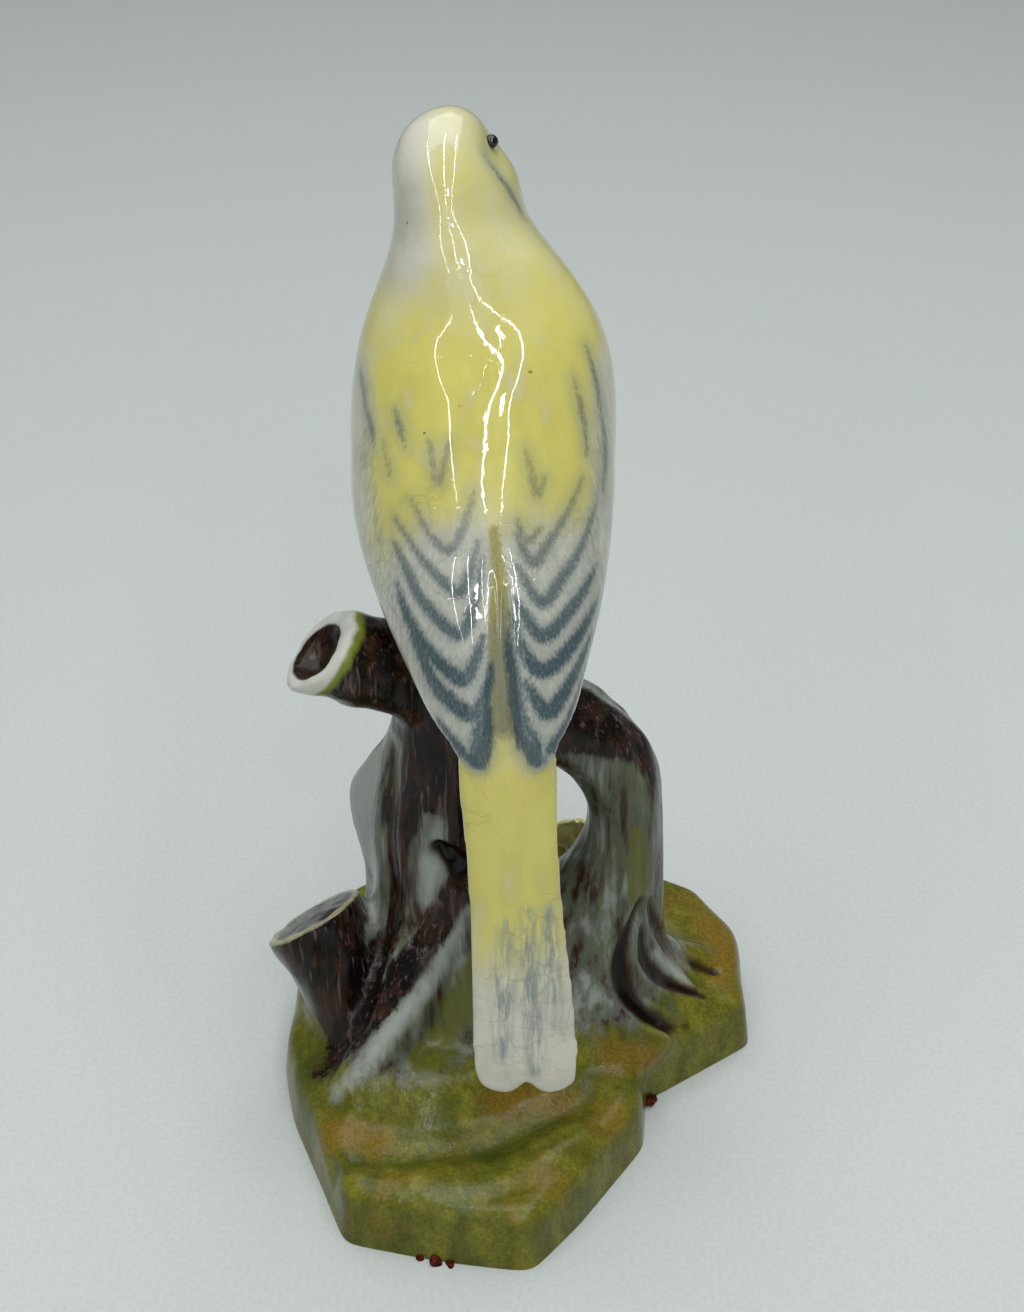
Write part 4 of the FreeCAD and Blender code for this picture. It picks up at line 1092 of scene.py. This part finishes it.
class FIGURINE_OT_flower(bpy.types.Operator):
    """Build the flower and its leaves"""
    bl_idname = "figurine.flower"
    bl_label = "Flower and leaves"

    def execute(self, context):
        petals, eye, calyx = make_flower()
        green = tinted_glaze("porcelain_leaf_glaze", hue("#6f7a2c"), hue("#5b2a18"), 5.0)
        dress(petals, tinted_glaze("porcelain_cream_glaze", hue("#d8cf8c"), hue("#a79a4e"), 6.0),
              "cream_glaze",
              "flower_petals")
        dress(eye, tinted_glaze("porcelain_amber_glaze", hue("#a8641c"), hue("#6b3510"), 1.2),
              "amber_glaze", "flower_eye")
        dress(calyx, green, "leaf_glaze", "flower_calyx")
        for leaf, node in zip(make_leaves(), ("leaf_right", "leaf_left", "leaf_upper")):
            dress(leaf, green, "leaf_glaze", node)
        return {"FINISHED"}


class FIGURINE_OT_putty(bpy.types.Operator):
    """Build the crumbs of wax at the rim"""
    bl_idname = "figurine.putty"
    bl_label = "Wax crumbs"

    def execute(self, context):
        dress(make_putty(), wax(), "museum_wax", "putty_flakes")
        return {"FINISHED"}


def lamp(name, place_at, aim, size, watts, colour=(1.0, 1.0, 1.0)):
    """An area light aimed at a point; size is (across, along)."""
    data = bpy.data.lights.new(name, "AREA")
    data.shape = "RECTANGLE"
    data.size, data.size_y = size
    data.energy = watts
    data.color = colour
    made = bpy.data.objects.new(name, data)
    made.location = place_at
    made.rotation_euler = (Vector(aim) - Vector(place_at)).to_track_quat("-Z", "Y").to_euler()
    bpy.context.scene.collection.objects.link(made)
    return made


class FIGURINE_OT_stage(bpy.types.Operator):
    """Build the pale floor, the lights and the camera"""
    bl_idname = "figurine.stage"
    bl_label = "Stage"

    def execute(self, context):
        bpy.ops.mesh.primitive_plane_add(size=6.0, location=(0, 1.0, 0))
        floor = context.object
        floor.name = "floor"
        made, tree = material("studio_paper_pale")
        colour = over(tree, look().floor, hue("#bec2c0"), step(tree, spread(tree, 0.8), 0.35, 0.65))
        body = add(tree, "ShaderNodeBsdfPrincipled", {"Base Color": colour, "Roughness": 0.62})
        out = add(tree, "ShaderNodeOutputMaterial")
        tree.links.new(body.outputs[0], out.inputs["Surface"])
        floor.data.materials.append(made)
        world = bpy.data.worlds.new("soft_room")
        world.use_nodes = True
        world.node_tree.nodes["Background"].inputs["Color"].default_value = (0.80, 0.90, 0.92, 1.0)
        world.node_tree.nodes["Background"].inputs["Strength"].default_value = 0.21
        context.scene.world = world
        lamp("soft_top", (0.0, 0.20, 0.80), (0, 0.16, 0), (0.8, 0.8), 4.9, (0.97, 1.0, 0.99))
        lamp("fill", (0.0, -1.2, 0.42), (0, 0, 0.08), (1.0, 1.0), 2.6, (1.0, 1.0, 0.98))
        for x, watts in ((-0.52, 3.1), (0.0, 3.6), (0.36, 3.1)):
            lamp("tube", (x, -0.825, 0.95), (x, -0.825, 0), (0.018, 1.55), watts)
        lamp("end_lamp", (0.16, -0.85, 0.90), (0, 0, 0.12), (0.05, 0.09), 0.8)
        context.scene.view_settings.view_transform = "Standard"
        data = bpy.data.cameras.new("view")
        data.lens = 59.01
        data.sensor_width = 36.0
        camera = bpy.data.objects.new("view", data)
        camera.location = (0.0, -0.267, 0.269)
        camera.rotation_euler = (math.radians(55.514), 0, 0)
        context.scene.collection.objects.link(camera)
        context.scene.camera = camera
        return {"FINISHED"}


class FIGURINE_PT_panel(bpy.types.Panel):
    """Lists the figurine's pieces in the sidebar"""
    bl_label = "Porcelain Budgerigar"
    bl_idname = "FIGURINE_PT_panel"
    bl_space_type = "VIEW_3D"
    bl_region_type = "UI"
    bl_category = "Figurine"

    def draw(self, context):
        for tool in TOOLS:
            self.layout.operator(tool.bl_idname)
        for key in FigurineSettings.__annotations__:
            self.layout.prop(look(), key)


TOOLS = (FIGURINE_OT_stump, FIGURINE_OT_bird, FIGURINE_OT_face, FIGURINE_OT_feet, FIGURINE_OT_flower,
         FIGURINE_OT_putty, FIGURINE_OT_stage)
CLASSES = (FigurineSettings, *TOOLS, FIGURINE_PT_panel)


def register():
    for item in CLASSES:
        bpy.utils.register_class(item)
    bpy.types.Scene.figurine = PointerProperty(type=FigurineSettings)


def unregister():
    del bpy.types.Scene.figurine
    for item in reversed(CLASSES):
        bpy.utils.unregister_class(item)


def main():
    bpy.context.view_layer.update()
    register()
    bpy.ops.figurine.stump()
    bpy.ops.figurine.bird()
    bpy.ops.figurine.face()
    bpy.ops.figurine.feet()
    bpy.ops.figurine.flower()
    bpy.ops.figurine.putty()
    bpy.ops.figurine.stage()


if __name__ == "__main__":
    main()
